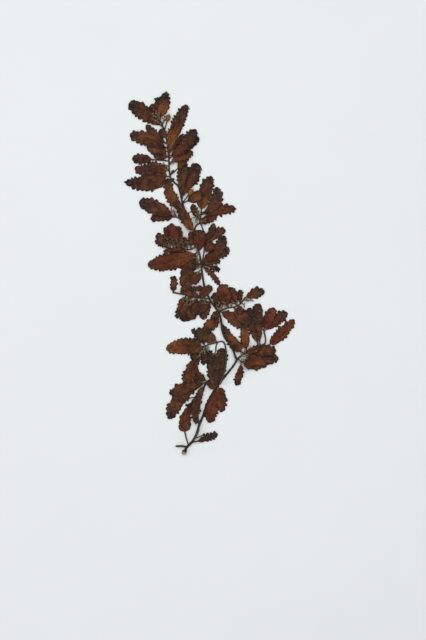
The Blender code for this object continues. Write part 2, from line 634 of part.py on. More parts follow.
def coral_crumb(material):
    """A rough ball with a cleft at the foot of the plant, cut flat underneath, where it stands."""
    bm = bmesh.new()
    bmesh.ops.create_icosphere(bm, subdivisions=2, radius=1)
    for vertex in bm.verts:
        rough = 1 + chance.uniform(-CRUMB_ROUGHNESS, CRUMB_ROUGHNESS)
        cleft = CRUMB_CLEFT if vertex.co.y < -0.8 else 1
        vertex.co = CRUMB_CENTRE + CRUMB_RADII * vertex.co * rough * cleft
    whole = bm.verts[:] + bm.edges[:] + bm.faces[:]
    cut = bmesh.ops.bisect_plane(bm, geom=whole, plane_co=(0, 0, 0), plane_no=(0, 0, 1), clear_inner=True)
    rim = [piece for piece in cut["geom_cut"] if isinstance(piece, bmesh.types.BMEdge)]
    bmesh.ops.contextual_create(bm, geom=rim)
    return dressed_bmesh("coral_crumb", bm, material)


def finish(name, look):
    colour, roughness = look
    material = bpy.data.materials.new(name)
    material.use_nodes = True
    shader = material.node_tree.nodes["Principled BSDF"]
    shader.inputs["Base Color"].default_value = (*colour, 1)
    shader.inputs["Roughness"].default_value = roughness
    shader.inputs["Metallic"].default_value = 0
    return material


def main():
    for old in list(bpy.data.objects):
        bpy.data.objects.remove(old)
    heap = Heap()
    coral_crumb(finish("coral_crumb", CORAL_CRUMB))
    dry_frond = finish("dry_frond", DRY_FROND)
    for name, frond in FRONDS.items():
        grow_frond(heap, name, frond, dry_frond)


main()
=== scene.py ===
import math
import random

import bpy
import numpy as np
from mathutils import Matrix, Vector, noise


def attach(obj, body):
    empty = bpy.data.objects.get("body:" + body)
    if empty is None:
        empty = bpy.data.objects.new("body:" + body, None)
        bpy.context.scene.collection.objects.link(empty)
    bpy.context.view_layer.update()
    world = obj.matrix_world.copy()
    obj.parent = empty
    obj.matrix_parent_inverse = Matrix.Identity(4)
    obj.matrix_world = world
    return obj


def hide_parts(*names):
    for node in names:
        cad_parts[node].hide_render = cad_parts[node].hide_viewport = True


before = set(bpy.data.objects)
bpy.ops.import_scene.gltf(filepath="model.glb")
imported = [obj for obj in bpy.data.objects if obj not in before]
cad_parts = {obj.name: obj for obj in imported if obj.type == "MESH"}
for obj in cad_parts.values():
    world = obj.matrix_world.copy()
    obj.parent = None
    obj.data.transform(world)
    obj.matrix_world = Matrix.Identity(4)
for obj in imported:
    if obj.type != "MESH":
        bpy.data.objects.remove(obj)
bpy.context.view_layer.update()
bpy.ops.object.select_all(action="DESELECT")    # the solids come in selected

mm = 0.001
drawn = random.Random(1993)      # makes the draws that the solids were made with, so the heap is the same
detail = random.Random(417)      # for all that is finer than the solids


# The plant's plan, in millimetres from the holdfast: x to the right, y up the plant

def stem(points, thick, thin):
    return {"points": points, "thick": thick, "thin": thin}


# bow bends the rib sideways, stalk is the stalk's share of the length, point and base say how long the
# blade tapers at its tip and at its foot, and an under leaf lies below the stems of its own frond;
# amber is how strongly light comes through the blade, and at what share of its length; tone leans to
# olive below 0 and to red above 0; dark deepens the whole blade and darkTip its far end, drawn if None
def leaf(root, tip, width, bow=0.0, stalk=0.1, point=0.5, base=0.62, under=False, amber=(0.2, 0.2),
         tone=0.0, dark=0.0, darkTip=None):
    return {"root": root, "tip": tip, "width": width, "bow": bow, "stalk": stalk, "point": point,
            "base": base, "under": under, "amber": amber, "tone": tone, "dark": dark, "darkTip": darkTip}


def twig(root, tip, dark=0.0):
    return {"root": root, "tip": tip, "dark": dark}


def bladder(root, centre, width, length, dark=0.0):
    return {"root": root, "centre": centre, "width": width, "length": length, "dark": dark}


mainStem = {
    "node": "main_stem",
    "stems": [
        stem([(0.95, 2.42), (2, 4.3), (5.7, 8.2), (8.2, 13), (9.9, 18.5), (12.4, 24.5), (14.7, 31.5),
              (18.6, 39.2), (22.6, 45), (27.2, 50.8), (31.8, 56.6), (34.2, 60.4)], 1.7, 1.3),
        stem([(1.8, 4.4), (-1.2, 5), (-5.2, 4.8)], 1.3, 1.2),
    ],
    "leaves": [
        leaf((2.9, 5.6), (7.4, 36), 8.2, bow=4.6, stalk=0.27, point=1.25, base=0.35, amber=(0.4, 0.4)),
        leaf((4.8, 7.2), (21.8, 12.8), 4.9, bow=-0.5, stalk=0.25, dark=0.5),
        leaf((22.3, 44), (24, 26.7), 7.2, bow=0.8, base=0.28, under=True, amber=(0.3, 0.1), tone=0.2),
        leaf((20.4, 42), (16.3, 19.9), 8.8, under=True, amber=(0.35, 0.4), tone=0.8, darkTip=0.2),
        leaf((20.1, 41.4), (15.7, 47.6), 4.8, base=0.35, point=0.35, dark=0.3),
        leaf((20.6, 42), (15.6, 67), 8.6, bow=-1.1, base=0.35, tone=-0.5, dark=0.35),
        leaf((22, 43.5), (25.2, 68.2), 8.8, bow=0.5, tone=-0.4, dark=0.45),
    ],
    "twigs": [twig((7, 9.4), (12.9, 12.3), dark=0.9)],
}

leftShoot = {
    "node": "left_shoot",
    "stems": [
        stem([(6.5, 9.4), (9.2, 14.5), (9.6, 19.5), (8.6, 27), (9.4, 35.5), (12, 42),
              (15.3, 46.6)], 1.2, 1.2),
    ],
    "leaves": [
        leaf((15.3, 46.6), (2, 54.8), 6.6, bow=0.2, amber=(0.2, 0.4), tone=-0.3),
        leaf((15, 46.3), (-9.8, 22.3), 9, bow=-4.6, base=0.8, amber=(0.5, 0.75)),
        leaf((14.8, 46), (-9.4, 38.6), 7.6, bow=-0.8, amber=(0.55, 0.8), tone=0.1),
        leaf((15.2, 46.4), (8, 19.4), 5.8, bow=-3.1, tone=0.4, dark=0.2),
    ],
    "twigs": [twig((9.6, 37.2), (3, 35.8), dark=0.9), twig((9.2, 35), (1.6, 31.4), dark=0.9)],
}

leftBranch = {
    "node": "left_branch",
    "stems": [
        stem([(23.6, 45.6), (25.5, 50.8), (26.8, 56), (27.4, 62), (27.1, 67), (26.3, 71),
              (24.5, 72.6), (21.8, 72), (18, 71), (14.4, 69.8), (10, 66.5)], 1.1, 0.9),
        stem([(21.8, 72), (20.8, 69.4), (20.6, 66)], 0.9, 0.9),
    ],
    "leaves": [
        leaf((9.8, 66.8), (0.8, 45.8), 7.8, bow=0.3, point=0.32, amber=(0.25, 0.7), tone=0.3),
        leaf((12.5, 68.4), (4.7, 61), 7, dark=0.2),
        leaf((13.5, 69), (-11.5, 67.5), 10.7, bow=-1.1, base=0.32, amber=(1.3, 0.86), darkTip=0),
        leaf((14.5, 69.8), (12.6, 57.2), 4.4, dark=0.3),
        leaf((13.8, 69.4), (4.8, 80.2), 4.2, bow=-0.9, tone=-0.6),
        leaf((21.8, 72.1), (7, 78.4), 9, bow=-0.8, amber=(0.3, 0.2), tone=-0.8),
    ],
    "twigs": [
        twig((15, 70), (10.8, 64.8)), twig((13.4, 69.2), (13.3, 64.6)), twig((12, 68), (9.4, 62.6)),
        twig((15.6, 70.2), (15.4, 66.4)), twig((20.6, 66.6), (19.2, 63.8)),
    ],
}

rightBranch = {
    "node": "right_branch",
    "stems": [
        stem([(34.4, 60.9), (37.8, 64), (42.5, 67), (47, 68.9), (51, 69.7), (54.4, 69.6)], 1.3, 1.0),
        stem([(35, 61.5), (36, 60.4), (37, 59.4)], 1.0, 0.9),
        stem([(52.2, 69.9), (52.8, 73), (52.4, 76.5), (51.4, 80.5)], 1.0, 0.9),
    ],
    "leaves": [
        leaf((36.9, 59.6), (33.7, 44), 5, bow=0.8, stalk=0.12, tone=0.4),
        leaf((37.2, 59.5), (54.5, 60), 6.6, bow=-2.5, base=0.45, amber=(0.45, 0.5), tone=0.4),
        leaf((37.2, 59.6), (61.2, 61.5), 9.2, bow=0.5, base=0.45, amber=(0.35, 0.4), tone=0.2),
        leaf((42.5, 66.8), (59.6, 66.4), 7.8, bow=0.1, base=0.5, tone=0.1),
        leaf((38.5, 64.6), (49.4, 69.2), 4.4, bow=-0.4, tone=0.3),
        leaf((54, 69.7), (71.3, 86.7), 7.4, bow=-0.8, base=0.35, amber=(0.3, 0.8), tone=0.8,
             darkTip=0.1),
        leaf((51.7, 79), (66.9, 91), 7.6, bow=0.9, tone=0.5),
        leaf((51.5, 80), (58.3, 94.3), 7.8, bow=0.2, amber=(0.4, 0.8), tone=0.8, darkTip=0.1),
        leaf((40.6, 66), (39.4, 89.5), 6.1, bow=0.9, base=0.35, amber=(0.9, 0.4)),
        leaf((48.2, 69.4), (42.1, 94.3), 8.4, base=0.8, tone=-0.2, dark=0.4),
        leaf((49, 69.5), (47.7, 97), 6.2, bow=-0.2, point=0.32, base=0.85, tone=0.1, dark=0.3),
        leaf((38.4, 64.6), (23.9, 84.8), 6.8, bow=0.9, point=0.95, base=0.35, amber=(0.7, 0.45),
             tone=-0.3),
    ],
    "twigs": [
        twig((36.5, 63), (39.2, 66.6)), twig((36.4, 62.6), (41, 63.6)), twig((36.2, 60.4), (40.6, 61.4)),
        twig((41, 66.2), (43, 68.6)), twig((47.5, 69.1), (46.6, 66.2)),
    ],
}

middleAxis = {
    "node": "middle_axis",
    "stems": [
        stem([(33.6, 62), (32.1, 66), (29.8, 70.8), (26.4, 75.2), (24.7, 80), (24.1, 86),
              (22.2, 91.8), (17.8, 97.8), (14.8, 104), (13.1, 108.8)], 1.4, 1.3),
        stem([(22.2, 91.6), (27.5, 94), (33, 95), (37, 97.4), (39.4, 101)], 1.1, 0.9),
        stem([(16.4, 100.2), (11.5, 100.6), (6.5, 101.8), (1.5, 102.8), (-2.6, 103.4), (-7.4, 104.3)],
             1.1, 1.1),
    ],
    "leaves": [
        leaf((23, 89.6), (13, 79.2), 7.4, bow=0.4, amber=(0.5, 0.6), tone=0.3),
        leaf((21.6, 92.6), (17.8, 86.8), 3.8),
        leaf((22.8, 91.8), (37.5, 81.4), 7.8, bow=1.7, amber=(0.45, 0.75)),
        leaf((32, 94.9), (43, 84.2), 8, bow=-0.5, amber=(0.4, 0.4)),
        leaf((35, 96.2), (37.4, 90), 4.6, dark=0.3),
        leaf((25, 93), (19.3, 104), 6.4),
        leaf((34, 95.6), (28.8, 107.4), 8.4, tone=0.2),
        leaf((29, 94.4), (24, 109.5), 9.2, bow=0.2, amber=(0.3, 0.8), tone=0.5),
        leaf((36.4, 97), (36, 106), 3.6),
        leaf((39.2, 100.6), (52.2, 104.6), 6.8, bow=0.8, dark=0.3),
        leaf((1.5, 102.8), (-4.6, 87.4), 5.8, base=0.4, tone=0.4, dark=0.2),
        leaf((4.5, 102.3), (-0.6, 85.4), 8.4, tone=0.2, dark=0.3),
        leaf((9, 101.2), (4, 86.7), 8, tone=0.3, dark=0.1),
        leaf((17.4, 98.4), (12.2, 86.6), 5.4, bow=-0.5, tone=-0.3, dark=0.3),
        leaf((17.2, 98.8), (4.6, 91), 9, tone=-0.2, dark=0.1),
        leaf((11.5, 100.6), (-2.4, 105), 4.6, bow=-0.6, amber=(0.3, 0.7)),
        leaf((9.5, 101.1), (18.2, 107.9), 6.2, bow=0.3, tone=0.4),
        leaf((13.6, 107.2), (4.2, 106.6), 3.6, tone=0.2),
        leaf((-7, 104.2), (-6.1, 115), 4.6, bow=0.1, base=0.4, amber=(0.35, 0.5)),
    ],
    "twigs": [
        twig((3, 102.6), (1.3, 96.2)), twig((5, 102.2), (3.8, 95.6)), twig((8, 101.4), (5.6, 97.4)),
        twig((37, 97.4), (39, 96.2)), twig((38, 98.9), (44, 99.2)), twig((38.8, 100), (41.8, 100.4)),
        twig((30.4, 94.6), (31.6, 98.2)), twig((33.4, 95.2), (34.6, 98.4)), twig((28, 94.2), (26, 97.6)),
        twig((23, 90.8), (20.6, 88.8)), twig((22, 92), (24.6, 95.8)),
        twig((12.5, 100.6), (14, 96.8)), twig((1.5, 102.8), (-1, 98.4)), twig((20.4, 94.4), (23, 97.4)),
    ],
}

upperAxis = {
    "node": "upper_axis",
    "stems": [
        stem([(12.8, 110.1), (11.9, 116), (11.2, 122), (10.3, 128), (8.6, 134), (7.2, 139),
              (6.8, 141.5)], 1.3, 1.2),
        stem([(11, 123.4), (12.3, 126), (12.9, 130), (13.5, 138), (12.6, 144), (11.1, 148)], 0.9, 0.9),
    ],
    "leaves": [
        leaf((9.4, 131.6), (1.2, 104.8), 9.2, bow=-2.6, amber=(0.3, 0.7), tone=-0.3),
        leaf((9.8, 130.4), (-23.4, 122.2), 11, bow=1.7, base=0.5, amber=(0.55, 0.15), tone=0.8,
             darkTip=0.2),
        leaf((11.8, 117), (4.8, 110), 6.4, bow=-0.6, tone=0.3),
        leaf((11.2, 122.6), (2.4, 121.8), 6.8, dark=0.25),
        leaf((11.4, 121.6), (23, 109), 3.7, bow=1.2, tone=0.4),
        leaf((11.2, 122.6), (23.4, 119), 3.8, bow=-0.2, stalk=0.45, dark=0.9),
        leaf((11.2, 122.8), (23.6, 124.6), 3.8, tone=0.3, dark=0.3),
        leaf((11.2, 123), (29.5, 132), 8, bow=1.4, point=0.4, amber=(0.45, 0.4), tone=0.7, darkTip=0.8),
        leaf((11.3, 123.6), (26, 141), 7.6, bow=-3, stalk=0.25, tone=0.4, dark=0.1, darkTip=1),
        leaf((12.9, 130.6), (19.2, 136), 6.4, amber=(0.5, 0.6), tone=0.4),
        leaf((13.3, 135), (27, 144.2), 6.8, bow=2.1, amber=(0.4, 0.2), tone=0.2, dark=0.2),
        leaf((13.4, 137), (19.3, 148.9), 5.2, bow=-0.9, dark=0.3),
        leaf((9.8, 130), (9.6, 144.6), 9.8, point=0.35, amber=(0.4, 0.9), tone=0.7),
    ],
    "twigs": [
        twig((10.9, 124.6), (7.4, 126.8)), twig((11.3, 121.4), (8.2, 119.9)),
        twig((10.4, 127.4), (8.2, 131.6)), twig((11.5, 119.6), (8.6, 116.6)),
    ],
}

leftSpray = {
    "node": "left_spray",
    "stems": [
        stem([(8.2, 133.8), (3.5, 131.9), (-1, 132.2), (-5, 133), (-9, 132.4), (-11.4, 131.6)],
             1.0, 0.9),
    ],
    "leaves": [
        leaf((4.6, 132.3), (4.2, 143.6), 3.8, tone=0.1),
        leaf((3, 132), (-13.2, 130.9), 3.6, bow=-0.2, tone=0.4),
        leaf((-0.2, 132.8), (0.4, 140), 5, tone=0.3),
        leaf((-10.6, 132.4), (-12.6, 128.4), 3.2, amber=(0.6, 0.5)),
        leaf((-10.2, 132.6), (-18.8, 137.6), 4.2, bow=-0.6, stalk=0.2, amber=(0.3, 0.7)),
        leaf((-9.6, 132.9), (-16.9, 142.8), 5.2, bow=0.7, tone=0.2),
        leaf((-6.4, 133.4), (-12.8, 146.2), 5.8, bow=-0.4, tone=0.7),
        leaf((-1.6, 132.9), (-3.6, 147.2), 5.2, bow=0.3, tone=0.4),
        leaf((-4.8, 133.5), (-8.2, 149), 6.6, tone=0.9),
    ],
    "twigs": [
        twig((-2.4, 132.9), (-4.6, 138.4), dark=0.4), twig((-6.4, 133.4), (-7.9, 139.2), dark=0.4),
        twig((0.6, 132.4), (-1.4, 137), dark=0.4), twig((-8.4, 133), (-10.8, 138.8), dark=0.4),
        twig((2.4, 132), (2.2, 136), dark=0.4),
    ],
}

rightSpray = {
    "node": "right_spray",
    "stems": [stem([(6.9, 145), (8, 147.4), (10.2, 149.4), (10.8, 153), (11.2, 156.4)], 1.2, 0.9)],
    "leaves": [
        leaf((10.4, 150.4), (5.6, 161.4), 4.8, bow=0.7, tone=0.3, dark=0.1),
        leaf((9.6, 148.9), (21.4, 153.1), 5.6, bow=0.6, base=0.4, tone=0.4, dark=0.2),
        leaf((11, 154.4), (33.8, 158.2), 7.2, bow=1.2, point=0.7, tone=0.7, darkTip=0.15),
        leaf((11.1, 155.6), (20.9, 172.4), 7.8, bow=-4.6, tone=0.1, dark=0.2, darkTip=0.8),
        leaf((11.1, 155.8), (17.9, 179.4), 9, bow=1.3, base=0.45, amber=(0.45, 0.25), tone=0.2),
    ],
    "twigs": [
        twig((10.4, 150.6), (7.2, 152.8)), twig((10.8, 153.4), (8.6, 157)),
        twig((10.7, 152), (7.8, 155)), twig((10, 149.2), (13.6, 150.6)), twig((9, 148.5), (7.6, 150.4)),
    ],
}

topAxis = {
    "node": "top_axis",
    "stems": [
        stem([(6.7, 142.4), (4.2, 149.5), (1.2, 155.8), (-0.8, 161.6), (-2, 167), (-3.6, 172.6),
              (-6.4, 175.6), (-8.7, 178.6), (-9.5, 184), (-9.7, 190), (-10.2, 196), (-11.1, 202),
              (-12.4, 208), (-14.2, 213), (-16, 216.4)], 1.3, 0.9),
        stem([(3.6, 150.6), (-0.6, 150.8), (-4.2, 152.7), (-7.2, 153.2)], 0.9, 0.9),
    ],
    "leaves": [
        leaf((-6.2, 153), (-21.7, 151.9), 4.6, base=0.4, tone=0.4),
        leaf((-6.8, 153.3), (-14.6, 161.6), 5, bow=0.9, dark=0.3),
        leaf((-7, 153.3), (-28.9, 163), 9.8, bow=-0.6, tone=0.3, dark=0.15, darkTip=0.8),
        leaf((6.8, 142), (-4, 163.2), 6.8, bow=0.8, base=0.45, amber=(0.5, 0.2), tone=0.3),
        leaf((1, 156.4), (-10.4, 178), 7, bow=3.5, base=0.5, amber=(0.8, 0.6)),
        leaf((-8.8, 179), (-31.8, 184.8), 8.8, bow=0.6, base=0.45, dark=0.35),
        leaf((-8.2, 177.8), (-38.7, 175.7), 10.2, bow=1.9, point=0.85, amber=(0.2, 0.3), tone=0.2,
             darkTip=1),
        leaf((-9.5, 183), (-24, 186.6), 7, base=0.4, tone=0.3),
        leaf((-9.7, 189.2), (-33.5, 190.8), 6.6, bow=-0.3, stalk=0.47, dark=0.4),
        leaf((-9.8, 191.6), (-19.8, 194.4), 7, tone=-0.3),
        leaf((-10.1, 195), (-24, 198.8), 8.2, amber=(0.6, 0.6), tone=0.2),
        leaf((-10.9, 200.2), (-24.3, 212.7), 5.4, bow=1.2, dark=0.2),
        leaf((-10.4, 197.2), (-35, 206.3), 9, bow=-1.1, amber=(0.6, 0.75), tone=0.2),
        leaf((-11.6, 203.6), (-15.2, 209.9), 5.4, tone=0.2, dark=0.2),
        leaf((-0.9, 161.9), (12, 168.8), 7.2, bow=-0.3, stalk=0.26, amber=(0.8, 0.6)),
        leaf((-2.2, 168), (9.6, 179.2), 6, bow=0.5, dark=0.1),
        leaf((-1.4, 164), (9.8, 187), 9.2, bow=1.6, point=0.35, tone=-0.2, darkTip=0.8),
        leaf((-1.8, 166), (0, 191), 6.8, bow=0.1, amber=(0.2, 0.3), tone=-0.3),
        leaf((-9, 180), (1.2, 191.7), 5.4, bow=-0.9, stalk=0.44, tone=0.4),
        leaf((-9.6, 188), (5.8, 195.2), 5.8, tone=0.2),
        leaf((-9.8, 190.6), (9.8, 204.4), 7.2, tone=0.1, dark=0.1, darkTip=0.9),
        leaf((-9.9, 192), (7.6, 209.8), 8.4, bow=-1.9, tone=0.2, darkTip=0.95),
        leaf((-9.9, 193), (-0.3, 206.7), 3.4, bow=0.5, tone=0.3, dark=0.2),
        leaf((-10, 194), (2, 225.5), 8, bow=1.4, point=0.4, base=0.45, amber=(0.9, 0.2), tone=0.3,
             darkTip=0.6),
        leaf((-14.8, 214.2), (-20.9, 226.2), 6.4, tone=0.4, dark=0.1),
        leaf((-13.4, 211.2), (-35.2, 227.2), 9.5, bow=-0.1, point=0.4, tone=0.3, darkTip=0.9),
        leaf((-15.8, 216), (-16.8, 230.5), 3.8, bow=0.7, stalk=0.3, amber=(0.3, 0.3)),
        leaf((-15.7, 215.8), (-11.4, 234.2), 7.8, bow=-0.3, point=0.7, amber=(1.0, 0.25), darkTip=0.95),
    ],
    "bladders": [
        bladder((-12.6, 208.8), (-10.2, 216.8), 3.4, 4.8),
        bladder((-0.9, 162.2), (4.4, 168.8), 3.6, 4.8),
        bladder((-8.2, 177.9), (-6.9, 177.4), 1.6, 1.6, dark=1),
        bladder((-9, 180.2), (-7.2, 182.2), 2.0, 2.2, dark=1),
    ],
    "twigs": [
        twig((-5, 152.9), (-8.4, 158.4)), twig((-4.6, 152.7), (-6.6, 157.6)),
        twig((-9.6, 185.6), (-13.6, 187)), twig((-9.6, 186.6), (-6.2, 188.6)),
        twig((-9.5, 184.4), (-12.4, 183.2)), twig((-10.1, 195.2), (-5.2, 203.2)),
        twig((-13.8, 212), (-12.4, 217.4), dark=0.4),
        twig((-14.6, 213.8), (-19.8, 215.6)), twig((-15.2, 215), (-20.2, 219.4)),
        twig((-15.6, 215.6), (-18.4, 221.4)), twig((-15, 214.6), (-16.9, 219.4)),
    ],
}

# from the lowest in the heap to the highest
fronds = [mainStem, leftShoot, leftBranch, rightBranch, middleAxis, upperAxis, leftSpray, rightSpray,
          topAxis]


# How the pieces lie on each other, as in the solids

stacking = {
    "gap": 0.45, "ownGap": 0.05,               # left under a piece, over other fronds and over its own
    "stemReach": 2.0, "bladeReach": 1.0,       # how far round a high spot a piece stays level
    "stemSlope": 0.4, "bladeSlope": 0.5,       # how steeply it falls away after that
    "climb": 0.9,                              # how steeply it may rise from its root
    "acrossSamples": 7, "alongSamples": 6,
    "cell": 0.5, "corner": (-50.0, -12.0), "cells": (260, 520),
    "stemStep": 4.0, "knobStep": 2.0, "knobWidth": 1.25, "neckWidth": 0.7,
    "ribThick": 0.9, "petiole": 1.0,
    "toothStep": 3.6, "toothDepth": 0.9, "toothSizes": (0.7, 1.2), "notch": 0.5, "smoothBase": 0.15,
    "fewestTeeth": 3, "longStalk": 0.15,
    "toothStart": 0.4, "lift": 0.2, "wave": 0.2, "waveLength": 7.0, "liftRise": 3,
    "bladderStalk": 0.8,
    "bladderRings": [(0.15, 0.7), (0.4, 0.98), (0.7, 0.9), (0.92, 0.5), (1, 0.12)],
}


class Heap:
    # how high the heap reaches over each spot of the table
    def __init__(self):
        self.height = np.full(stacking["cells"], -stacking["gap"])
        self.below = self.height.copy()

    def cellsAt(self, plan):
        index = np.floor((plan - stacking["corner"]) / stacking["cell"]).astype(int)
        return np.clip(index, 1, np.array(stacking["cells"]) - 2)

    def startFrond(self):
        self.below = self.height.copy()

    def rest(self, level, spots, samples, clearance, reach, slope):
        # how high each spot must be so that the piece, whose samples these are, clears the level
        i, j = self.cellsAt(samples).T
        around = [level[i + di, j + dj] for di in (-1, 0, 1) for dj in (-1, 0, 1)]
        need = np.max(around, axis=0) + clearance
        away = np.linalg.norm(spots[:, None] - samples[None], axis=2)
        return np.max(need - slope * np.maximum(0, away - reach), axis=1)

    def lie(self, spots, samples, clearance, reach, slope, root):
        # the same over other fronds, and over its own as far as it can rise from its root
        clear = self.rest(self.below, spots, samples, clearance + stacking["gap"], reach,
                          stacking["climb"])
        overOwn = self.rest(self.height, spots, samples, clearance + stacking["ownGap"], reach, slope)
        climb = root[2] + stacking["climb"] * np.linalg.norm(spots - root[:2], axis=1)
        return np.maximum(clear, np.minimum(overOwn, climb))

    def add(self, plan, heights):
        i, j = self.cellsAt(plan).T
        np.maximum.at(self.height, (i, j), heights)

    def addLine(self, line, widths):
        for k in range(len(line) - 1):
            width = max(widths[k:k + 2])
            spots = spotsBeside(line[k:k + 2], width)
            self.add(spots[:, :2], spots[:, 2] + width / 2)


def smoothLine(points, step):
    # a curve through the points, with about that distance between its own
    p = np.array(points, float)
    ends = [2 * p[0] - p[1], *p, 2 * p[-1] - p[-2]]
    line = []
    for a, b, c, d in zip(ends, ends[1:], ends[2:], ends[3:]):
        count = max(1, round(np.linalg.norm(c - b) / step))
        for t in np.arange(count) / count:
            line.append(0.5 * (2 * b + (c - a) * t + (2 * a - 5 * b + 4 * c - d) * t**2
                               + (3 * b - a - 3 * c + d) * t**3))
    return np.array([*line, p[-1]])


def nearestSpot(grown, root):
    # where a stalk meets the frond's own stems
    best = None
    for line in grown:
        a, b = line[:-1], line[1:]
        share = np.clip(np.sum((root - a[:, :2]) * (b - a)[:, :2], axis=1)
                        / np.sum((b - a)[:, :2] ** 2, axis=1), 0, 1)
        spots = a + share[:, None] * (b - a)
        away = np.linalg.norm(spots[:, :2] - root, axis=1)
        k = int(np.argmin(away))
        if best is None or away[k] < best[0]:
            best = (away[k], spots[k])
    return best[1]


def spotsBeside(line, width):
    # spots along the middle of a line and along its two sides
    share = np.linspace(0, 1, stacking["alongSamples"])[:, None]
    spots = []
    for a, b in zip(line, line[1:]):
        side = np.zeros(len(a))
        side[:2] = (b - a)[1::-1] * (-1, 1) / np.linalg.norm((b - a)[:2])
        spots += [a + share * (b - a) + off * width * side for off in (-0.5, 0, 0.5)]
    return np.concatenate(spots)


def layLine(heap, plan, width, reach, root):
    heights = heap.lie(plan, spotsBeside(plan, width), width / 2, reach, stacking["stemSlope"], root)
    heights[0] = root[2]
    return np.column_stack([plan, heights])


def layStem(heap, spec, grown):
    plan = smoothLine(spec["points"], stacking["stemStep"])
    widths = np.linspace(spec["thick"], spec["thin"], len(plan))
    if grown:
        root = nearestSpot(grown, plan[0])
        plan[0] = root[:2]
        line = layLine(heap, plan, spec["thick"], stacking["stemReach"], root)
    else:
        clearance = stacking["gap"] + spec["thick"] / 2
        heights = heap.rest(heap.height, plan, spotsBeside(plan, spec["thick"]), clearance,
                            stacking["stemReach"], stacking["stemSlope"])
        line = np.column_stack([plan, heights])
    heap.addLine(line, widths)
    grown.append(line)
    return line, widths


def layTwig(heap, spec, grown):
    root = nearestSpot(grown, np.array(spec["root"], float))
    reach = np.array(spec["tip"], float) - root[:2]
    knobs = max(2, round(np.linalg.norm(reach) / stacking["knobStep"]))
    plan = root[:2] + np.linspace(0, 1, 2 * knobs)[:, None] * reach
    neck, knob = stacking["neckWidth"], stacking["knobWidth"]
    widths = [neck, neck] + [neck, knob] * (knobs - 1)
    line = layLine(heap, plan, knob, stacking["bladeReach"], root)
    heap.addLine(line, widths)
    return line


def layBladder(heap, spec, grown):
    root = nearestSpot(grown, np.array(spec["root"], float))
    centre = np.array(spec["centre"], float)
    away = np.linalg.norm(centre - root[:2])
    ahead = (centre - root[:2]) / away
    length, width = spec["length"], spec["width"]
    neck = away - length / 2
    rings = stacking["bladderRings"]
    along = np.array([0, neck / 2, neck] + [neck + length * place for place, _ in rings])
    widths = [stacking["bladderStalk"]] * 3 + [width * share for _, share in rings]
    plan = root[:2] + along[:, None] * ahead
    level = heap.lie(centre[None], spotsBeside(plan[2:], width), width / 2, width / 2,
                     stacking["stemSlope"], root)[0]
    climb = np.clip(along / neck, 0, 1)
    line = np.column_stack([plan, root[2] + climb * (max(level, root[2]) - root[2])])
    heap.addLine(line, widths)
    return line


def halfWidth(spec, onBlade):
    # half the blade's width at each share of its length
    taper, point = spec["base"], spec["point"]
    peak = taper / (taper + point)
    swell = (onBlade / peak) ** taper * ((1 - onBlade) / (1 - peak)) ** point
    return np.maximum(stacking["petiole"] / 2, spec["width"] / 2 * swell)


def ribLine(spec, root, t):
    run = np.array(spec["tip"], float) - root[:2]
    across = np.array([-run[1], run[0]]) / np.linalg.norm(run)
    return root[:2] + t[:, None] * run + 4 * spec["bow"] * (t * (1 - t))[:, None] * across


def sidesOf(rib):
    ahead = np.gradient(rib, axis=0)
    ahead /= np.linalg.norm(ahead, axis=1)[:, None]
    return ahead, np.column_stack([-ahead[:, 1], ahead[:, 0]])


def layLeaf(heap, spec, grown):
    root = nearestSpot(grown, np.array(spec["root"], float))
    tip = np.array(spec["tip"], float)
    length = np.linalg.norm(tip - root[:2])
    stalk = spec["stalk"]
    teeth = max(stacking["fewestTeeth"], round(length * (1 - stalk) / stacking["toothStep"]))
    petiole = [0, stalk / 2] if stalk > stacking["longStalk"] else [0]
    notches = (np.arange(2 * teeth) + stacking["toothStart"]) / (2 * teeth)
    t = np.array([*petiole, *(stalk + (1 - stalk) * notches)])
    rib = ribLine(spec, root, t)
    side = sidesOf(rib)[1]
    onBlade = np.clip((t - stalk) / (1 - stalk), 0, 1)
    half = halfWidth(spec, onBlade)
    edges = []
    for margin in (0, 1):
        sizes = [drawn.uniform(*stacking["toothSizes"]) if (k + margin) % 2 else -stacking["notch"]
                 for k in range(len(t))]
        cut = half + stacking["toothDepth"] / 2 * np.array(sizes) * (onBlade > stacking["smoothBase"])
        edges.append(np.maximum(stacking["petiole"] / 2, cut)[:, None])
    left, right = rib + edges[0] * side, rib - edges[1] * side

    def across(a, b, c):
        spots, shares = [], []
        for edge in (a, c):
            for share in np.linspace(0, 1, stacking["acrossSamples"]):
                line = edge + share * (b - edge)
                spots += [line, (line[1:] + line[:-1]) / 2]
                shares += [share] * (2 * len(line) - 1)
        return np.concatenate(spots), np.array(shares)

    rows = len(t)
    spots = np.concatenate([left, rib, right, tip[None]])
    samples, shares = across(left, rib, right)
    thick = shares * stacking["ribThick"] / 2
    if spec["under"]:
        heights = heap.rest(heap.below, spots, samples, thick + stacking["gap"],
                            stacking["bladeReach"], stacking["bladeSlope"])
    else:
        heights = heap.lie(spots, samples, thick, stacking["bladeReach"], stacking["bladeSlope"], root)
    heights[[0, rows, 2 * rows]] = root[2]
    along = t * length
    grownOut = np.clip(stacking["liftRise"] * along / along[-1], 0, 1)
    phase = 2 * math.pi * (along / stacking["waveLength"] + drawn.random())
    zLeft = heights[:rows] + grownOut * (stacking["lift"] + stacking["wave"] * np.sin(phase))
    zRib = heights[rows:2 * rows]
    zRight = heights[2 * rows:3 * rows] + grownOut * (stacking["lift"] + stacking["wave"] * np.cos(phase))
    zTip = heights[-1]
    heap.add(samples, across(zLeft, zRib + stacking["ribThick"] / 2, zRight)[0])
    heap.add(tip[None], np.array([zTip]))
    shares = np.array([*t, 1.0])
    return {"root": root, "length": length, "t": shares, "zLeft": np.array([*zLeft, zTip]),
            "zRib": np.array([*zRib, zTip]), "zRight": np.array([*zRight, zTip])}


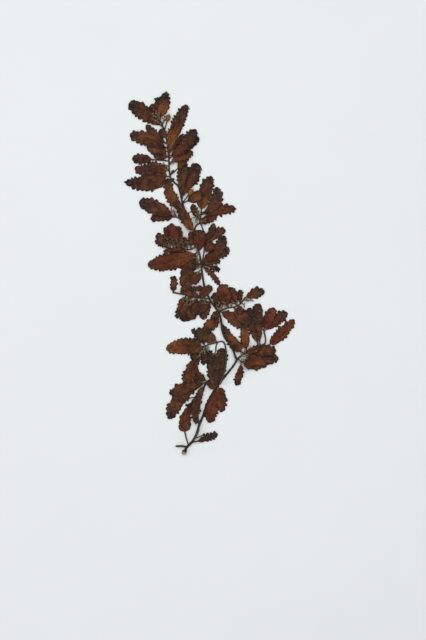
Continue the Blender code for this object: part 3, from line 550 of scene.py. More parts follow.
class Wire:
    # a socket that can be added, multiplied and so on: each sum adds its own Math node
    def __init__(self, tree, socket=None):
        self.tree, self.socket = tree, socket

    def node(self, kind, settings, sockets, out=0):
        made = self.tree.nodes.new(kind)
        for name, value in settings.items():
            setattr(made, name, value)
        for name, value in sockets.items():
            if isinstance(value, Wire):
                self.tree.links.new(value.socket, made.inputs[name])
            else:
                made.inputs[name].default_value = value
        return Wire(self.tree, made.outputs[out])

    def maths(self, operation, *values):
        return self.node("ShaderNodeMath", {"operation": operation}, dict(enumerate(values)))

    def __add__(self, other):
        return self.maths("ADD", self, other)

    def __sub__(self, other):
        return self.maths("SUBTRACT", self, other)

    def __rsub__(self, other):
        return self.maths("SUBTRACT", other, self)

    def __mul__(self, other):
        return self.maths("MULTIPLY", self, other)

    __radd__ = __add__
    __rmul__ = __mul__

    def between(self, low, high):
        # 0 below low, 1 above high, eased between
        return self.node("ShaderNodeMapRange", {"interpolation_type": "SMOOTHSTEP"},
                         {"Value": self, "From Min": low, "From Max": high})

    def mixed(self, one, other):
        # a colour: one where this is 0, other where it is 1
        one, other = (colour if isinstance(colour, Wire) else (*colour, 1) for colour in (one, other))
        return self.node("ShaderNodeMix", {"data_type": "RGBA"}, {0: self, 6: one, 7: other}, out=2)

    def parts(self):
        # the three parts of a vector
        split = self.node("ShaderNodeSeparateXYZ", {}, {0: self}).socket.node
        return [Wire(self.tree, part) for part in split.outputs]


def attribute(wires, name, part):
    return wires.node("ShaderNodeAttribute", {"attribute_name": name}, {}, out=part)


def startMaterial(name, **fixed):
    material = bpy.data.materials.new(name)
    material.use_nodes = True
    shader = material.node_tree.nodes["Principled BSDF"]
    for socket, value in fixed.items():
        shader.inputs[socket.replace("_", " ")].default_value = value
    wires = Wire(material.node_tree)
    place = wires.node("ShaderNodeTexCoord", {}, {}, out="Object")
    return material, wires, place, shader


def grain(wires, place, size, depth=3.0, rough=0.55, stretch=None):
    # soft noise whose patches are about that many millimetres across
    if stretch:
        place = wires.node("ShaderNodeMapping", {}, {"Vector": place, "Scale": stretch})
    return wires.node("ShaderNodeTexNoise", {},
                      {"Vector": place, "Scale": 1 / (size * mm), "Detail": depth, "Roughness": rough})


def roundSpots(wires, place, size, edge, randomness=1.0):
    # round spots about that many millimetres apart: 1 in their middles, 0 between them
    cells = wires.node("ShaderNodeTexVoronoi", {"feature": "F1"},
                       {"Vector": place, "Scale": 1 / (size * mm), "Randomness": randomness})
    return 1 - cells.between(*edge)


def fit(wires, shader, **varying):
    for socket, value in varying.items():
        wires.tree.links.new(value.socket, shader.inputs[socket.replace("_", " ")])


def finishOff(wires, shader, use, colour, dullness, relief):
    # the colour, a roughness between the finish's two ends, and the relief as a bump
    low, high = use["roughness"]
    bump = wires.node("ShaderNodeBump", {}, {"Height": relief, "Distance": use["bumpDepth"] * mm,
                                             "Strength": use["bump"]})
    fit(wires, shader, Base_Color=colour, Roughness=dullness * (high - low) + low, Normal=bump)


# in every finish the sizes are in millimetres, an edge says between which levels of the noise a mark
# fades in, and a mix how much of its colour shows

leafFinish = {
    "brown": (0.131, 0.0435, 0.0195), "deep": (0.052, 0.022, 0.011), "amber": (0.200, 0.068, 0.0195),
    "red": (0.135, 0.024, 0.012), "olive": (0.066, 0.040, 0.013), "margin": (0.016, 0.0085, 0.0065),
    # the next colour is a painted sheen: pale grey-lilac put on raised blots and dark tips in place of
    # their soft reflection
    "paintedSheen": (0.170, 0.125, 0.108),
    "size": {"patch": 6.0, "blot": 2.4, "mottle": 1.3, "fine": 0.28, "dot": 0.55, "streak": 1.1},
    "streakStretch": (0.28, 1, 0.3), "dotRandomness": 0.9,
    "edge": {"patch": (0.38, 0.62), "red": (0.3, 0.65), "blot": (0.34, 0.5), "streak": (0.36, 0.52),
             "dot": (0.12, 0.34), "rib": (0.02, 0.25), "margin": (0.05, 1.15), "paintedSheenBlot": (0.5, 0.7),
             "paintedSheen": (0.48, 0.66), "dull": (0.25, 0.8)},
    "mix": {"olive": 0.9, "rib": 0.35, "dot": 0.35, "blot": 0.5, "streak": 0.55, "margin": 0.88,
            "dark": 0.9, "paintedSheen": 0.75, "paintedSheenOnBlots": 0.6, "paintedSheenOnDark": 0.7},
    "mottledAmber": 1.6, "patchedAmber": 0.8, "marginWander": 1.6, "mottledDark": (0.6, 0.8),
    "relief": {"blot": 0.5, "streak": 0.7, "mottle": 0.3, "fine": 0.15, "dot": 0.2},
    "roughness": (0.42, 0.72), "gloss": 0.06, "bumpDepth": 0.35, "bump": 0.7,
}


def leafMaterial():
    use = leafFinish
    size, edge, mix, high = use["size"], use["edge"], use["mix"], use["relief"]
    material, wires, place, shader = startMaterial("pressed_leaf", Specular_IOR_Level=use["gloss"])
    where = attribute(wires, "leafPlace", "Vector")      # along, across and from the margin, in mm
    across, rim = where.parts()[1:]
    amber, tone, dark = attribute(wires, "leafLook", "Vector").parts()

    patches = grain(wires, place, size["patch"])
    blots = grain(wires, place, size["blot"], rough=0.6)
    mottle = grain(wires, place, size["mottle"], depth=5.0, rough=0.65)
    fine = grain(wires, place, size["fine"], depth=2.0)
    streaks = grain(wires, where, size["streak"] / mm, depth=4.0, rough=0.6, stretch=use["streakStretch"])
    dots = roundSpots(wires, place, size["dot"], edge["dot"], use["dotRandomness"])
    rib = 1 - (across * across).between(*edge["rib"])
    uneven = mottle - 0.5

    lit = amber * (1 + uneven * use["mottledAmber"] + (patches - 0.5) * use["patchedAmber"])
    least, more = use["mottledDark"]
    # painted sheen on the raised blots and on the dark parts, where the blade would catch a soft
    # reflection
    paintedSheenShare = blots.between(*edge["paintedSheenBlot"]) * mix["paintedSheenOnBlots"] + dark * mix["paintedSheenOnDark"]
    layers = [
        (tone.between(0, 1) * mottle.between(*edge["red"]), "red"),
        ((0 - tone).between(0, 1) * mix["olive"], "olive"),
        (lit.between(0, 1), "amber"),
        (rib * mix["rib"], "deep"),
        (dots * mix["dot"], "margin"),
        ((1 - blots.between(*edge["blot"])) * mix["blot"], "margin"),
        # darker where the streaked wrinkles dip: painted shade in the grooves of the wrinkle relief
        ((1 - streaks.between(*edge["streak"])) * mix["streak"], "margin"),
        ((1 - (rim + uneven * use["marginWander"]).between(*edge["margin"])) * mix["margin"], "margin"),
        ((dark * mix["dark"] * (least + mottle * more)).between(0, 1), "margin"),
        (paintedSheenShare * mottle.between(*edge["paintedSheen"]) * mix["paintedSheen"], "paintedSheen"),
    ]
    colour = patches.between(*edge["patch"]).mixed(use["deep"], use["brown"])
    for share, name in layers:
        colour = share.mixed(colour, use[name])
    relief = blots * high["blot"] + streaks * high["streak"] + mottle * high["mottle"] \
        + fine * high["fine"] - dots * high["dot"]
    finishOff(wires, shader, use, colour, mottle.between(*edge["dull"]), relief)
    return material


stemFinish = {
    "old": (0.030, 0.019, 0.012), "young": (0.085, 0.066, 0.040), "fleck": (0.02, 0.012, 0.01),
    "mottleSize": 0.9, "fineSize": 0.22, "mottled": 0.7, "fleckEdge": (0.55, 0.75), "fleckMix": 0.5,
    "reliefOf": (0.7, 0.3), "roughness": (0.5, 0.75), "gloss": 0.15, "bumpDepth": 0.15, "bump": 0.7,
}


def stemMaterial():
    use = stemFinish
    material, wires, place, shader = startMaterial("dried_stem", Specular_IOR_Level=use["gloss"])
    youth = attribute(wires, "youth", "Fac")
    mottle = grain(wires, place, use["mottleSize"], depth=5.0, rough=0.65)
    fine = grain(wires, place, use["fineSize"], depth=2.0)
    colour = (youth + (mottle - 0.5) * use["mottled"]).between(0, 1).mixed(use["old"], use["young"])
    colour = (fine.between(*use["fleckEdge"]) * use["fleckMix"]).mixed(colour, use["fleck"])
    coarse, small = use["reliefOf"]
    finishOff(wires, shader, use, colour, mottle, mottle * coarse + fine * small)
    return material


twigFinish = {
    "pale": (0.30, 0.245, 0.155), "dark": (0.062, 0.043, 0.026), "black": (0.012, 0.008, 0.006),
    "pore": (0.03, 0.02, 0.014), "mottleSize": 0.7, "paleEdge": (0.38, 0.66),
    "poreSize": 0.34, "poreEdge": (0.15, 0.4), "poreMix": 0.7, "relief": 0.6,
    "roughness": (0.6, 0.85), "gloss": 0.15, "bumpDepth": 0.12, "bump": 0.7,
}


def twigMaterial():
    use = twigFinish
    material, wires, place, shader = startMaterial("fruiting_twig", Specular_IOR_Level=use["gloss"])
    youth = attribute(wires, "youth", "Fac")
    mottle = grain(wires, place, use["mottleSize"], depth=4.0, rough=0.65)
    pores = roundSpots(wires, place, use["poreSize"], use["poreEdge"])
    # pale grey-olive where the mottle rises, dark between: the twig's own mottle, and partly a painted
    # highlight on the tops of its knobs
    colour = mottle.between(*use["paleEdge"]).mixed(use["dark"], use["pale"])
    colour = (pores * use["poreMix"]).mixed(colour, use["pore"])
    colour = youth.mixed(use["black"], colour)
    finishOff(wires, shader, use, colour, mottle, mottle * use["relief"] - pores * use["relief"])
    return material


bladderFinish = {
    "skin": (0.245, 0.092, 0.026), "dark": (0.040, 0.020, 0.012), "mottleSize": 1.1, "fineSize": 0.25,
    "skinEdge": (0.2, 0.6), "reliefOf": (0.7, 0.3), "roughness": (0.4, 0.6), "gloss": 0.2,
    "bumpDepth": 0.1, "bump": 0.5,
}


def bladderMaterial():
    use = bladderFinish
    material, wires, place, shader = startMaterial("bladder_skin", Specular_IOR_Level=use["gloss"])
    mottle = grain(wires, place, use["mottleSize"], depth=4.0, rough=0.6)
    fine = grain(wires, place, use["fineSize"], depth=2.0)
    youth = attribute(wires, "youth", "Fac")
    colour = (youth * mottle.between(*use["skinEdge"])).mixed(use["dark"], use["skin"])
    coarse, small = use["reliefOf"]
    finishOff(wires, shader, use, colour, mottle, mottle * coarse + fine * small)
    return material


crumbFinish = {
    "chalk": (0.44, 0.34, 0.22), "stain": (0.13, 0.088, 0.050), "mottleSize": 0.8, "fineSize": 0.15,
    "chalkEdge": (0.33, 0.55), "poreSize": 0.4, "poreEdge": (0.15, 0.45), "poreMix": 0.55,
    "stained": (0.0002, 0.0022), "stainWander": 0.002, "stainMix": 0.8,      # up the plant, in metres
    "reliefOf": {"fine": 0.4, "pore": 0.8, "mottle": 0.3},
    "roughness": (0.8, 0.95), "bumpDepth": 0.15, "bump": 0.8,
}


def crumbMaterial():
    use = crumbFinish
    material, wires, place, shader = startMaterial("coral_crumb_chalk")
    mottle = grain(wires, place, use["mottleSize"], depth=5.0, rough=0.7)
    fine = grain(wires, place, use["fineSize"])
    pores = roundSpots(wires, place, use["poreSize"], use["poreEdge"])
    colour = mottle.between(*use["chalkEdge"]).mixed(use["stain"], use["chalk"])
    colour = (pores * use["poreMix"]).mixed(colour, use["stain"])
    up = place.parts()[1] + (mottle - 0.5) * use["stainWander"]
    colour = (up.between(*use["stained"]) * use["stainMix"]).mixed(colour, use["stain"])
    high = use["reliefOf"]
    relief = fine * high["fine"] - pores * high["pore"] + mottle * high["mottle"]
    finishOff(wires, shader, use, colour, fine, relief)
    return material


leafShape = {
    "toothStep": (2.1, 3.0), "toothDepth": 1.25, "toothSizes": (0.3, 1.35), "notch": 0.42, "forward": 0.3,
    "toothRows": [(0.0, 0.0), (0.2, 0.45), (0.42, 0.82), (0.64, 1.0), (0.85, 0.62)],   # place, height
    "tipRows": [(0, -0.21), (0.35, 0.1), (0.65, 0.1), (0.88, 0.05), (1, 0)],           # place, height
    "smoothBase": 0.12, "smoothTip": 0.965, "fewestTeeth": 4, "spread": 0.28, "offset": 0.22,
    "smallest": 0.45, "firstTooth": 0.6, "fullTooth": 2.5,     # they grow over the first few teeth
    "teethFrom": 0.5, "teethEase": 1.5,                        # from there out the blade bends to them
    "fewestStalkRows": 3, "baseRows": 4, "fineRows": 241, "smoothings": 4,
    "ragged": 0.6, "raggedSize": 3.2, "plainWidth": 0.5, "toothedWidth": 1.2, "raggedFrom": 0.8,
    "tipWidth": 0.2, "stalkWaist": 0.8, "stalkStep": 0.7,
    "columns": [0, 0.09, 0.24, 0.42, 0.6, 0.76, 0.9, 1.0],     # across the blade, from rib to margin
    "ribHeights": [1, 0.5, 0, 0, 0, 0, 0, 0], "ribTaper": 0.75,
    "blade": 0.38, "margin": 0.16, "petiole": 0.85, "rib": 0.42, "thinnest": 0.1,      # thick, in mm
    "pleat": 0.07, "pleatStep": 2.4, "pleatSlant": 1.1, "calmTip": 2, "leastSwell": 0.3,
    "tipCurl": 0.07, "liftFrom": 0.8, "liftOver": 0.2, "sideCurl": (-0.1, 0.35), "curlFrom": 0.6,
    "tipRim": 0.05, "stalkRim": 3,          # added to how far a spot is from the margin
    "buckle": 0.16, "buckleSize": 4, "wrinkle": 0.04, "wrinkleSize": 1.1,
    "intoBlade": 0.15, "lowest": 0.02, "sharpest": 50,
    "glowSpread": 0.27, "darkTip": (0.1, 0.75), "darkFrom": 0.4, "darkOver": 0.5, "darkEase": 1.3,
}


def leafRows(spec, length):
    # where the rows meet the left margin, the rib and the right margin, and the teeth there
    use = leafShape
    stalk = spec["stalk"]
    stalkRows = max(use["fewestStalkRows"], round(length * stalk / use["stalkStep"]))
    toothed = length * (1 - stalk) * (use["smoothTip"] - use["smoothBase"])
    teeth = max(use["fewestTeeth"], round(toothed / detail.uniform(*use["toothStep"])))
    base = np.linspace(0, use["smoothBase"], use["baseRows"] + 1)[:-1]
    edges, sizes = [], []
    for margin in (-use["offset"], use["offset"]):
        step = (use["smoothTip"] - use["smoothBase"]) / teeth
        marks = use["smoothBase"] + step * np.arange(teeth + 1)
        marks[1:-1] += step * np.array([margin + detail.uniform(-1, 1) * use["spread"]
                                        for _ in range(teeth - 1)])
        places, heights = [], []
        for k in range(teeth):
            grown = min(1, (k + use["firstTooth"]) / use["fullTooth"])
            size = detail.uniform(*use["toothSizes"]) * (use["smallest"] + (1 - use["smallest"]) * grown)
            for place, height in use["toothRows"]:
                places.append(marks[k] + place * (marks[k + 1] - marks[k]))
                heights.append(size * height - use["notch"] * min(1, k + place))
        places += [marks[-1] + (1 - marks[-1]) * share for share, _ in use["tipRows"]]
        heights += [height for _, height in use["tipRows"]]
        edges.append(np.concatenate([base, places]))
        sizes.append(np.concatenate([0 * base, heights]))
    stalks = np.linspace(0, stalk, stalkRows + 1)[:-1]
    edges = [np.concatenate([stalks, stalk + (1 - stalk) * e]) for e in edges]
    sizes = [np.concatenate([0 * stalks, s]) * use["toothDepth"] for s in sizes]
    return edges, sizes


def makeLeaf(spec, laid):
    use = leafShape
    stalk, length, root = spec["stalk"], laid["length"], laid["root"]
    edges, sizes = leafRows(spec, length)
    middle = (edges[0] + edges[1]) / 2
    rows, levels = len(middle), np.array(use["columns"])
    columns = 2 * len(levels) - 1
    bpy.ops.mesh.primitive_grid_add(x_subdivisions=columns - 1, y_subdivisions=rows - 1, size=1)
    blade = bpy.context.object

    # the rib and the two margins on the plan, without the teeth and with them
    fineT = np.linspace(0, 1, use["fineRows"])
    fineRib = ribLine(spec, root, fineT)
    fineAhead, fineSide = sidesOf(fineRib)

    def at(table, t):
        return np.column_stack([np.interp(t, fineT, table[:, k]) for k in range(2)])

    ribPlan = at(fineRib, middle)
    plans, rims, halves = {}, {}, {}
    for key, t, size, sign in (("left", edges[0], sizes[0], 1), ("right", edges[1], sizes[1], -1)):
        onBlade = np.clip((t - stalk) / (1 - stalk), 0, 1)
        half = halfWidth(spec, onBlade)
        half[-1] = use["tipWidth"]
        half *= np.where(onBlade <= 0, use["stalkWaist"], 1)
        narrow, wide = use["plainWidth"], use["toothedWidth"]
        size = np.where(half > wide, size, size * np.clip((half - narrow) / (wide - narrow), 0, 1))
        seed = detail.uniform(0, 90)
        size = size + use["ragged"] * np.clip(half - use["raggedFrom"], 0, 1) * np.array(
            [noise.noise(Vector((k * length / use["raggedSize"], seed, 0))) for k in onBlade])
        flat = at(fineRib, t) + (sign * half)[:, None] * at(fineSide, t)
        cut = flat + (sign * size)[:, None] * at(fineSide, t) \
            + (use["forward"] * np.maximum(0, size))[:, None] * at(fineAhead, t)
        plans[key], halves[key] = (flat, cut), half + size
    lift = {key: np.array([detail.uniform(-1, 1) for _ in range(rows)]) for key in plans}
    curl = {key: detail.uniform(*use["sideCurl"]) for key in plans}

    def level(key, t):
        z = np.interp(t, laid["t"], laid[key])
        for _ in range(use["smoothings"]):
            z[1:-1] = (z[:-2] + 2 * z[1:-1] + z[2:]) / 4
        return z

    # the heights, and what the material reads
    heights = {"left": level("zLeft", edges[0]), "right": level("zRight", edges[1])}
    zRib = level("zRib", middle)
    seed = detail.uniform(0, 90)
    onBlade = np.clip((middle - stalk) / (1 - stalk), 0, 1)
    light, lightAt = spec["amber"]
    glow = light * np.exp(-((onBlade - lightAt) / use["glowSpread"]) ** 2)
    shade = detail.uniform(*use["darkTip"]) if spec["darkTip"] is None else spec["darkTip"]
    tipShade = shade * np.clip((onBlade - use["darkFrom"]) / use["darkOver"], 0, 1) ** use["darkEase"]
    spread = np.clip(onBlade / use["intoBlade"], 0, 1)
    spread = spread * spread * (3 - 2 * spread)
    places = np.zeros((len(blade.data.vertices), 3))
    leafPlace, leafLook, thick = np.zeros_like(places), np.zeros_like(places), np.zeros(len(places))
    for vertex in blade.data.vertices:
        column = round((vertex.co.x + 0.5) * (columns - 1)) - (len(levels) - 1)
        row = round((vertex.co.y + 0.5) * (rows - 1))
        key = "left" if column < 0 else "right"
        u = levels[abs(column)]
        flat, cut = plans[key][0][row], plans[key][1][row]
        toTeeth = max(0, (u - use["teethFrom"]) / (1 - use["teethFrom"])) ** use["teethEase"]
        plan = ribPlan[row] + u * (flat - ribPlan[row]) + toTeeth * (cut - flat)
        half = halves[key][row]
        s = middle[row] * length
        onto = spread[row]
        bladeThick = use["margin"] + (use["blade"] - use["margin"]) * (1 - u * u)
        ridge = use["rib"] * (1 - use["ribTaper"] * onBlade[row]) * use["ribHeights"][abs(column)]
        stalkThick = use["thinnest"] + use["petiole"] * math.sqrt(max(0, 1 - u * u))
        t = onto * (bladeThick + ridge) + (1 - onto) * stalkThick
        z = zRib[row] + u * (heights[key][row] - zRib[row])
        swell = onto * min(1, (1 - middle[row]) * length / use["calmTip"] + use["leastSwell"])
        pleat = math.sin(2 * math.pi * (s - use["pleatSlant"] * u * half) / use["pleatStep"])
        z += swell * use["pleat"] * pleat * 4 * u * (1 - u)
        x, y = plan
        broad, close = use["buckleSize"], use["wrinkleSize"]
        z += swell * use["buckle"] * noise.noise(Vector((x / broad, y / broad, seed)))
        z += swell * use["wrinkle"] * noise.noise(Vector((x / close, y / close, seed + 7)))
        z += onto * use["tipCurl"] * lift[key][row] * max(0, u - use["liftFrom"]) / use["liftOver"]
        z += onto * curl[key] * max(0, u - use["curlFrom"]) ** 2
        z = max(z, t / 2 + use["lowest"])
        places[vertex.index] = x * mm, y * mm, z * mm
        fromEdge = min((1 - u) * half, (1 - middle[row]) * length + use["tipRim"])
        fromEdge += use["stalkRim"] * (1 - onto)
        leafPlace[vertex.index] = s, (1 if key == "left" else -1) * u * half, fromEdge
        darker = spec["dark"] + (1 - spec["dark"]) * tipShade[row]
        leafLook[vertex.index] = glow[row], spec["tone"], darker
        thick[vertex.index] = t
    mesh = blade.data
    mesh.vertices.foreach_set("co", places.ravel())
    for name, values in (("leafPlace", leafPlace), ("leafLook", leafLook)):
        made = mesh.attributes.new(name, "FLOAT_VECTOR", "POINT")
        made.data.foreach_set("vector", values.ravel())
    most = float(thick.max())
    group = blade.vertex_groups.new(name="thick")
    for index, t in enumerate(thick):
        group.add([index], float(t) / most, "REPLACE")
    shell = blade.modifiers.new("shell", "SOLIDIFY")
    shell.thickness, shell.offset, shell.vertex_group = most * mm, 0, "thick"
    bpy.ops.object.modifier_apply(modifier=shell.name)
    blade.vertex_groups.clear()
    bpy.ops.object.shade_smooth_by_angle(angle=math.radians(use["sharpest"]))
    blade.select_set(False)
    return blade


def roundTube(line, radii, sides):
    # a closed tube along the line, in millimetres; sides is Blender's bevel resolution
    bpy.ops.curve.primitive_bezier_curve_add(radius=mm)
    tube = bpy.context.object
    curve = tube.data
    curve.splines.clear()
    spline = curve.splines.new("POLY")
    spline.points.add(len(line) - 1)
    for point, place, radius in zip(spline.points, line, radii):
        point.co = (*(np.array(place) * mm), 1)
        point.radius = radius
    curve.dimensions = "3D"
    curve.bevel_depth, curve.bevel_resolution, curve.use_fill_caps = mm, sides, True
    tube.location = (0, 0, 0)
    bpy.ops.object.convert(target="MESH")
    tube = bpy.context.object
    bpy.ops.object.mode_set(mode="EDIT")
    bpy.ops.mesh.select_all(action="SELECT")
    bpy.ops.mesh.remove_doubles(threshold=0.01 * mm)
    bpy.ops.mesh.normals_make_consistent(inside=False)
    bpy.ops.object.mode_set(mode="OBJECT")
    bpy.ops.object.shade_smooth()
    tube.select_set(False)
    return tube


def paintYouth(tube, youth):
    # one number for the whole piece, or one for each of its points
    made = tube.data.attributes.new("youth", "FLOAT", "POINT")
    made.data.foreach_set("value", np.full(len(tube.data.vertices), youth, np.float32))


stemShape = {
    "step": 0.7, "sides": 3, "furrow": 0.13, "furrowSize": 0.5, "scar": 0.22, "scarSize": 0.22,
    "lowest": 0.02, "farthest": 6.0, "oldWidth": 1.5, "youngOver": 0.6,
}


def carried(laid, others, end):
    # the stem, made to start (end 0) or to stop (end -1) inside the nearest of the other stems
    line, widths = laid
    spots = [a + share * (b - a) for other in others for a, b in zip(other, other[1:])
             for share in np.linspace(0, 1, 9)]
    spot = min(spots, key=lambda s: np.linalg.norm(s - line[end]))
    if np.linalg.norm(spot - line[end]) > stemShape["farthest"]:
        return laid
    parts = ([spot], line) if end == 0 else (line, [spot])
    sizes = (widths[:1], widths) if end == 0 else (widths, widths[-1:])
    return np.concatenate(parts), np.concatenate(sizes)


def makeStem(line, widths):
    use = stemShape
    fine = smoothLine(line, use["step"])
    run = np.linspace(0, 1, len(fine))
    radii = np.interp(run, np.linspace(0, 1, len(widths)), widths) / 2
    seed = detail.uniform(0, 90)
    for k, z in enumerate(fine[:, 2]):
        radii[k] *= 1 + use["furrow"] * noise.noise(Vector((k * use["furrowSize"], seed, 0))) \
            + use["scar"] * max(0, noise.noise(Vector((k * use["scarSize"], seed, 5))))
        fine[k, 2] = max(z, radii[k] + use["lowest"])
    tube = roundTube(fine, radii, use["sides"])
    paintYouth(tube, float(np.clip((use["oldWidth"] - widths[0]) / use["youngOver"], 0, 1)))
    return tube


twigShape = {
    "step": 0.36, "knobStep": 1.1, "neck": 0.22, "knob": 0.44, "sides": 2, "uneven": (0.8, 1.15),
    "fewestRings": 5, "thinFirst": 0.3, "blunt": 0.6,
    "branchStep": 1.7, "branchPlace": (-0.35, 0.25), "branch": (0.9, 1.9), "branchTurn": (0.6, 1.1),
    "branchLift": (-0.1, 0.25), "branchBend": (-0.15, 0.15), "branchNeck": 0.8, "branchKnob": 0.9,
    "darkest": 0.5,               # from there on a twig is a plain one with a bead
    "bead": 0.30, "beadSizes": (0.8, 1.3), "beadHeight": 0.85, "darkBead": 2,
}


def lengthsAlong(line):
    return np.concatenate([[0], np.cumsum(np.linalg.norm(np.diff(line, axis=0), axis=1))])


def knobblyTube(line, neck, knob):
    # a warty tube that swells and narrows along the line
    use = twigShape
    total = lengthsAlong(line)
    s = np.linspace(0, total[-1], max(use["fewestRings"], round(total[-1] / use["step"])))
    fine = np.column_stack([np.interp(s, total, line[:, k]) for k in range(3)])
    phase = detail.random()
    radii = []
    for along in s:
        swell = abs(math.sin(math.pi * (along / use["knobStep"] + phase)))
        grow = min(1, along / (use["thinFirst"] * total[-1]))
        radii.append(neck + (knob - neck) * swell * grow * detail.uniform(*use["uneven"]))
    radii[-1] *= use["blunt"]
    return roundTube(fine, radii, use["sides"])


def makeTwig(spec, line):
    use = twigShape
    total = lengthsAlong(line)
    tubes = [knobblyTube(line, use["neck"], use["knob"])]
    ahead = (line[-1] - line[0]) / np.linalg.norm(line[-1] - line[0])
    side = np.array([-ahead[1], ahead[0], 0])
    tips = [line[-1]]
    for k in range(1, 1 + round(total[-1] / use["branchStep"])):
        along = min(total[-1], (k + detail.uniform(*use["branchPlace"])) * use["branchStep"])
        spot = np.array([np.interp(along, total, line[:, i]) for i in range(3)])
        turn = detail.uniform(*use["branchTurn"]) * (1 if k % 2 else -1)
        reach = detail.uniform(*use["branch"])
        way = ahead * math.cos(turn) + side * math.sin(turn)
        tip = spot + way * reach + (0, 0, detail.uniform(*use["branchLift"]))
        bend = (spot + tip) / 2 + side * detail.uniform(*use["branchBend"])
        if spec["dark"] < use["darkest"]:
            tubes.append(knobblyTube(np.array([spot, bend, tip]), use["neck"] * use["branchNeck"],
                                     use["knob"] * use["branchKnob"]))
            tips.append(tip)
    for tip in tips:
        size = use["bead"] * detail.uniform(*use["beadSizes"]) * (1 + use["darkBead"] * spec["dark"])
        bpy.ops.mesh.primitive_ico_sphere_add(subdivisions=2, radius=size * mm, location=tip * mm)
        bead = bpy.context.object
        bead.scale = (1, 1, use["beadHeight"])
        bpy.ops.object.transform_apply(location=True, rotation=True, scale=True)
        bpy.ops.object.shade_smooth()
        bead.select_set(False)
        tubes.append(bead)
    for tube in tubes:
        paintYouth(tube, 1 - spec["dark"])
    return tubes


holdfastShape = {"centre": (0.4, 1.75, 1.35), "radii": (1.45, 0.95, 1.25), "lobes": 0.32, "lobeSize": 0.8,
                 "lobeSeed": (3, 1, 4)}


def makeHoldfast():
    # the dark lobed pad that grips the crumb
    use = holdfastShape
    bpy.ops.mesh.primitive_ico_sphere_add(subdivisions=4, radius=1)
    pad = bpy.context.object
    for vertex in pad.data.vertices:
        out = vertex.co.copy()
        swell = 1 + use["lobes"] * noise.noise(out / use["lobeSize"] + Vector(use["lobeSeed"]))
        vertex.co = [mm * (c + r * v * swell) for c, r, v in zip(use["centre"], use["radii"], out)]
    bpy.ops.object.shade_smooth()
    pad.select_set(False)
    paintYouth(pad, 0)
    return pad


bladderShape = {"stalk": 0.36, "stalkRows": 7, "flare": 0.3, "rings": 14, "skew": (1.04, 0.14),
                "point": 0.5, "pointWidth": 0.08, "narrowest": 0.1, "sides": 4,
                "darkUpTo": 0.8, "fade": (0.2, 0.4)}      # along the stalk, which stays dark


def makeBladder(spec, line):
    use = bladderShape
    root, end = line[0], line[-1]
    length, width = spec["length"], spec["width"]
    whole = np.linalg.norm(end - root)
    ahead = (end - root) / whole
    neck = whole - length
    spots, radii = [], []
    for share in np.linspace(0, 1, use["stalkRows"] + 1)[:-1]:
        spots.append(root + ahead * neck * share)
        radii.append(use["stalk"] * (1 + use["flare"] * share))
    fat, lean = use["skew"]
    for share in np.linspace(0, 1, use["rings"]):
        egg = math.sqrt(max(0, 1 - (2 * share - 1) ** 2)) * (fat - lean * share)
        spots.append(root + ahead * (neck + length * share))
        least = use["narrowest"] if share > 0.5 else use["stalk"] * (1 + use["flare"])
        radii.append(max(least, width / 2 * egg))
    spots.append(end + ahead * use["point"])
    radii.append(use["pointWidth"])
    tube = roundTube(np.array(spots), radii, use["sides"])
    start, tip = Vector(root * mm), Vector(ahead)
    fromRoot = [(v.co - start).dot(tip) / mm for v in tube.data.vertices]
    share, more = use["fade"]
    paintYouth(tube, [(1 - spec["dark"])
                      * min(1, max(0, (away - neck * use["darkUpTo"]) / (share * neck + more)))
                      for away in fromRoot])
    return tube


crumbShape = {
    "centre": (0.2, 0.4, 1.05), "radii": (1.7, 1.6, 1.5), "rough": 0.06, "cleft": 0.7, "cleftBelow": -0.8,
    "fineness": 3, "grains": 0.12, "grainStep": 1.6, "grainDepth": (0.8, 2.0, 4),
    "pits": 0.22, "pitStep": 1.5, "pitWidth": 0.35, "sharpest": 40,
}


def makeCrumb():
    # the solid's own lumps first, then grains and pits, cut off flat where it stands
    use = crumbShape
    bpy.ops.mesh.primitive_ico_sphere_add(subdivisions=2, radius=1)
    crumb = bpy.context.object
    for vertex in crumb.data.vertices:
        rough = 1 + drawn.uniform(-use["rough"], use["rough"])
        cleft = use["cleft"] if vertex.co.y < use["cleftBelow"] else 1
        vertex.co = [mm * (c + r * v * rough * cleft)
                     for c, r, v in zip(use["centre"], use["radii"], vertex.co)]
    rounder = crumb.modifiers.new("rounder", "SUBSURF")
    rounder.subdivision_type = "SIMPLE"
    rounder.levels = rounder.render_levels = use["fineness"]
    bpy.ops.object.modifier_apply(modifier=rounder.name)
    middle = Vector(use["centre"]) * mm
    for vertex in crumb.data.vertices:
        out = (vertex.co - middle).normalized()
        at = vertex.co / mm
        pit = noise.voronoi(at * use["pitStep"])[0][0]      # how far from the nearest pit's middle
        depth = use["grains"] * noise.fractal(at * use["grainStep"], *use["grainDepth"]) \
            - use["pits"] * max(0, use["pitWidth"] - pit)
        vertex.co += out * depth * mm
    bpy.ops.object.mode_set(mode="EDIT")
    bpy.ops.mesh.select_all(action="SELECT")
    bpy.ops.mesh.bisect(plane_co=(0, 0, 0), plane_no=(0, 0, 1), clear_inner=True, use_fill=True,
                        threshold=0.001 * mm)
    bpy.ops.mesh.select_all(action="SELECT")
    bpy.ops.mesh.normals_make_consistent(inside=False)
    bpy.ops.object.mode_set(mode="OBJECT")
    bpy.ops.object.shade_smooth_by_angle(angle=math.radians(use["sharpest"]))
    crumb.select_set(False)
    return crumb


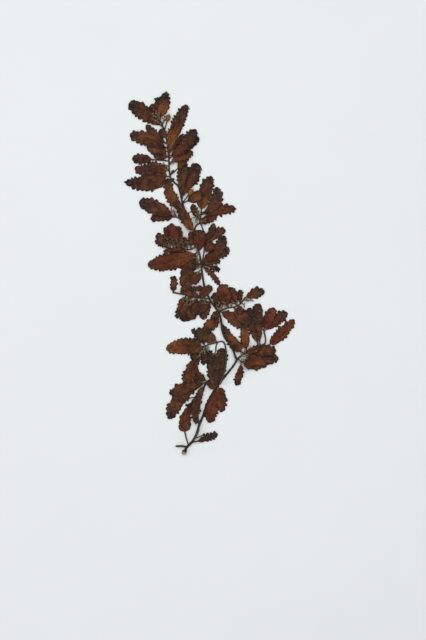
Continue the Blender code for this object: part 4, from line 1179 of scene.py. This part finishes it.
def dressPiece(name, parts, material, node):
    # joins the parts into one piece, which takes the place of the node's solid
    bpy.ops.object.select_all(action="DESELECT")
    for part in parts:
        part.select_set(True)
    bpy.context.view_layer.objects.active = parts[0]
    if len(parts) > 1:
        bpy.ops.object.join()
    piece = bpy.context.object
    piece.name = piece.data.name = name
    piece.data.materials.clear()
    piece.data.materials.append(material)
    piece.select_set(False)
    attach(piece, "root")
    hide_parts(node)
    print(name, len(piece.data.polygons), "faces")


leafLooks, stemLooks, twigLooks = leafMaterial(), stemMaterial(), twigMaterial()
bladderLooks, crumbLooks = bladderMaterial(), crumbMaterial()
print("materials made")

dressPiece("crumb_of_coral", [makeCrumb()], crumbLooks, "coral_crumb")

heap, stemsOf, restOf = Heap(), {}, {}
for frond in fronds:
    heap.startFrond()
    grown = []
    stemsOf[frond["node"]] = [layStem(heap, spec, grown) for spec in frond["stems"]]
    restOf[frond["node"]] = [[(spec, lay(heap, spec, grown)) for spec in frond.get(kind, [])]
                             for kind, lay in (("leaves", layLeaf), ("bladders", layBladder),
                                               ("twigs", layTwig))]
print("fronds laid on each other")

below = []
for frond in fronds:
    node = frond["node"]
    stems, (leaves, bladders, twigs) = list(stemsOf[node]), restOf[node]
    if below:
        stems[0] = carried(stems[0], below, 0)
    if frond is upperAxis:       # its thin stem runs up into the spray on the right
        stems[-1] = carried(stems[-1], [line for line, _ in stemsOf["right_spray"]], -1)
    pads = [makeHoldfast()] if frond is mainStem else []
    tubes = [makeStem(*laid) for laid in stems]
    below += [line for line, _ in stemsOf[node]]
    dressPiece(node + "_stems", tubes + pads, stemLooks, node)
    dressPiece(node + "_leaves", [makeLeaf(*laid) for laid in leaves], leafLooks, node)
    if bladders:
        skins = [makeBladder(*laid) for laid in bladders]
        dressPiece(node + "_bladders", skins, bladderLooks, node)
    knobs = [tube for laid in twigs for tube in makeTwig(*laid)]
    dressPiece(node + "_twigs", knobs, twigLooks, node)


stageSettings = {
    "floor": (0.82, 0.85, 0.86), "floorSize": 8.0, "floorDrop": 0.0001, "shadeSize": 60.0, "shade": 0.985,
    "shadeEdge": (0.2, 0.8), "world": (0.98, 1.0, 0.99), "worldStrength": 0.45,
    "lights": [((0.22, 0.50, 1.25), 0.5, 6.0), ((-0.28, -0.20, 1.20), 0.5, 2.7),
               ((-1.0, 0.45, 0.85), 0.8, 3.0)],      # place, size, watts
    "aim": (0.0188, 0.0864), "height": 0.978, "lens": 85.0, "sensor": 36.0, "clip": (0.05, 20),
}


def setStage():
    use = stageSettings
    bpy.ops.mesh.primitive_plane_add(size=use["floorSize"], location=(0, 0, -use["floorDrop"]))
    floor = bpy.context.object
    floor.name = "floor"
    material, wires, place, shader = startMaterial("pale_floor", Roughness=0.9)
    shade = grain(wires, place, use["shadeSize"]).between(*use["shadeEdge"])
    fit(wires, shader, Base_Color=shade.mixed([use["shade"] * c for c in use["floor"]], use["floor"]))
    floor.data.materials.append(material)
    world = bpy.data.worlds.new("soft_room")
    world.use_nodes = True
    back = world.node_tree.nodes["Background"]
    back.inputs["Color"].default_value = (*use["world"], 1)
    back.inputs["Strength"].default_value = use["worldStrength"]
    bpy.context.scene.world = world
    bpy.context.scene.view_settings.view_transform = "Standard"      # the photograph's plain colours
    target = Vector((*use["aim"], 0))
    for place, size, watts in use["lights"]:
        bpy.ops.object.light_add(type="AREA", location=place)
        lamp = bpy.context.object
        lamp.data.size, lamp.data.energy = size, watts
        lamp.rotation_euler = (target - Vector(place)).to_track_quat("-Z", "Y").to_euler()
        lamp.select_set(False)
    bpy.ops.object.camera_add(location=(*use["aim"], use["height"]), rotation=(0, 0, 0))
    camera = bpy.context.object
    camera.data.type, camera.data.lens, camera.data.sensor_width = "PERSP", use["lens"], use["sensor"]
    camera.data.clip_start, camera.data.clip_end = use["clip"]
    bpy.context.scene.camera = camera


setStage()
print("stage set")
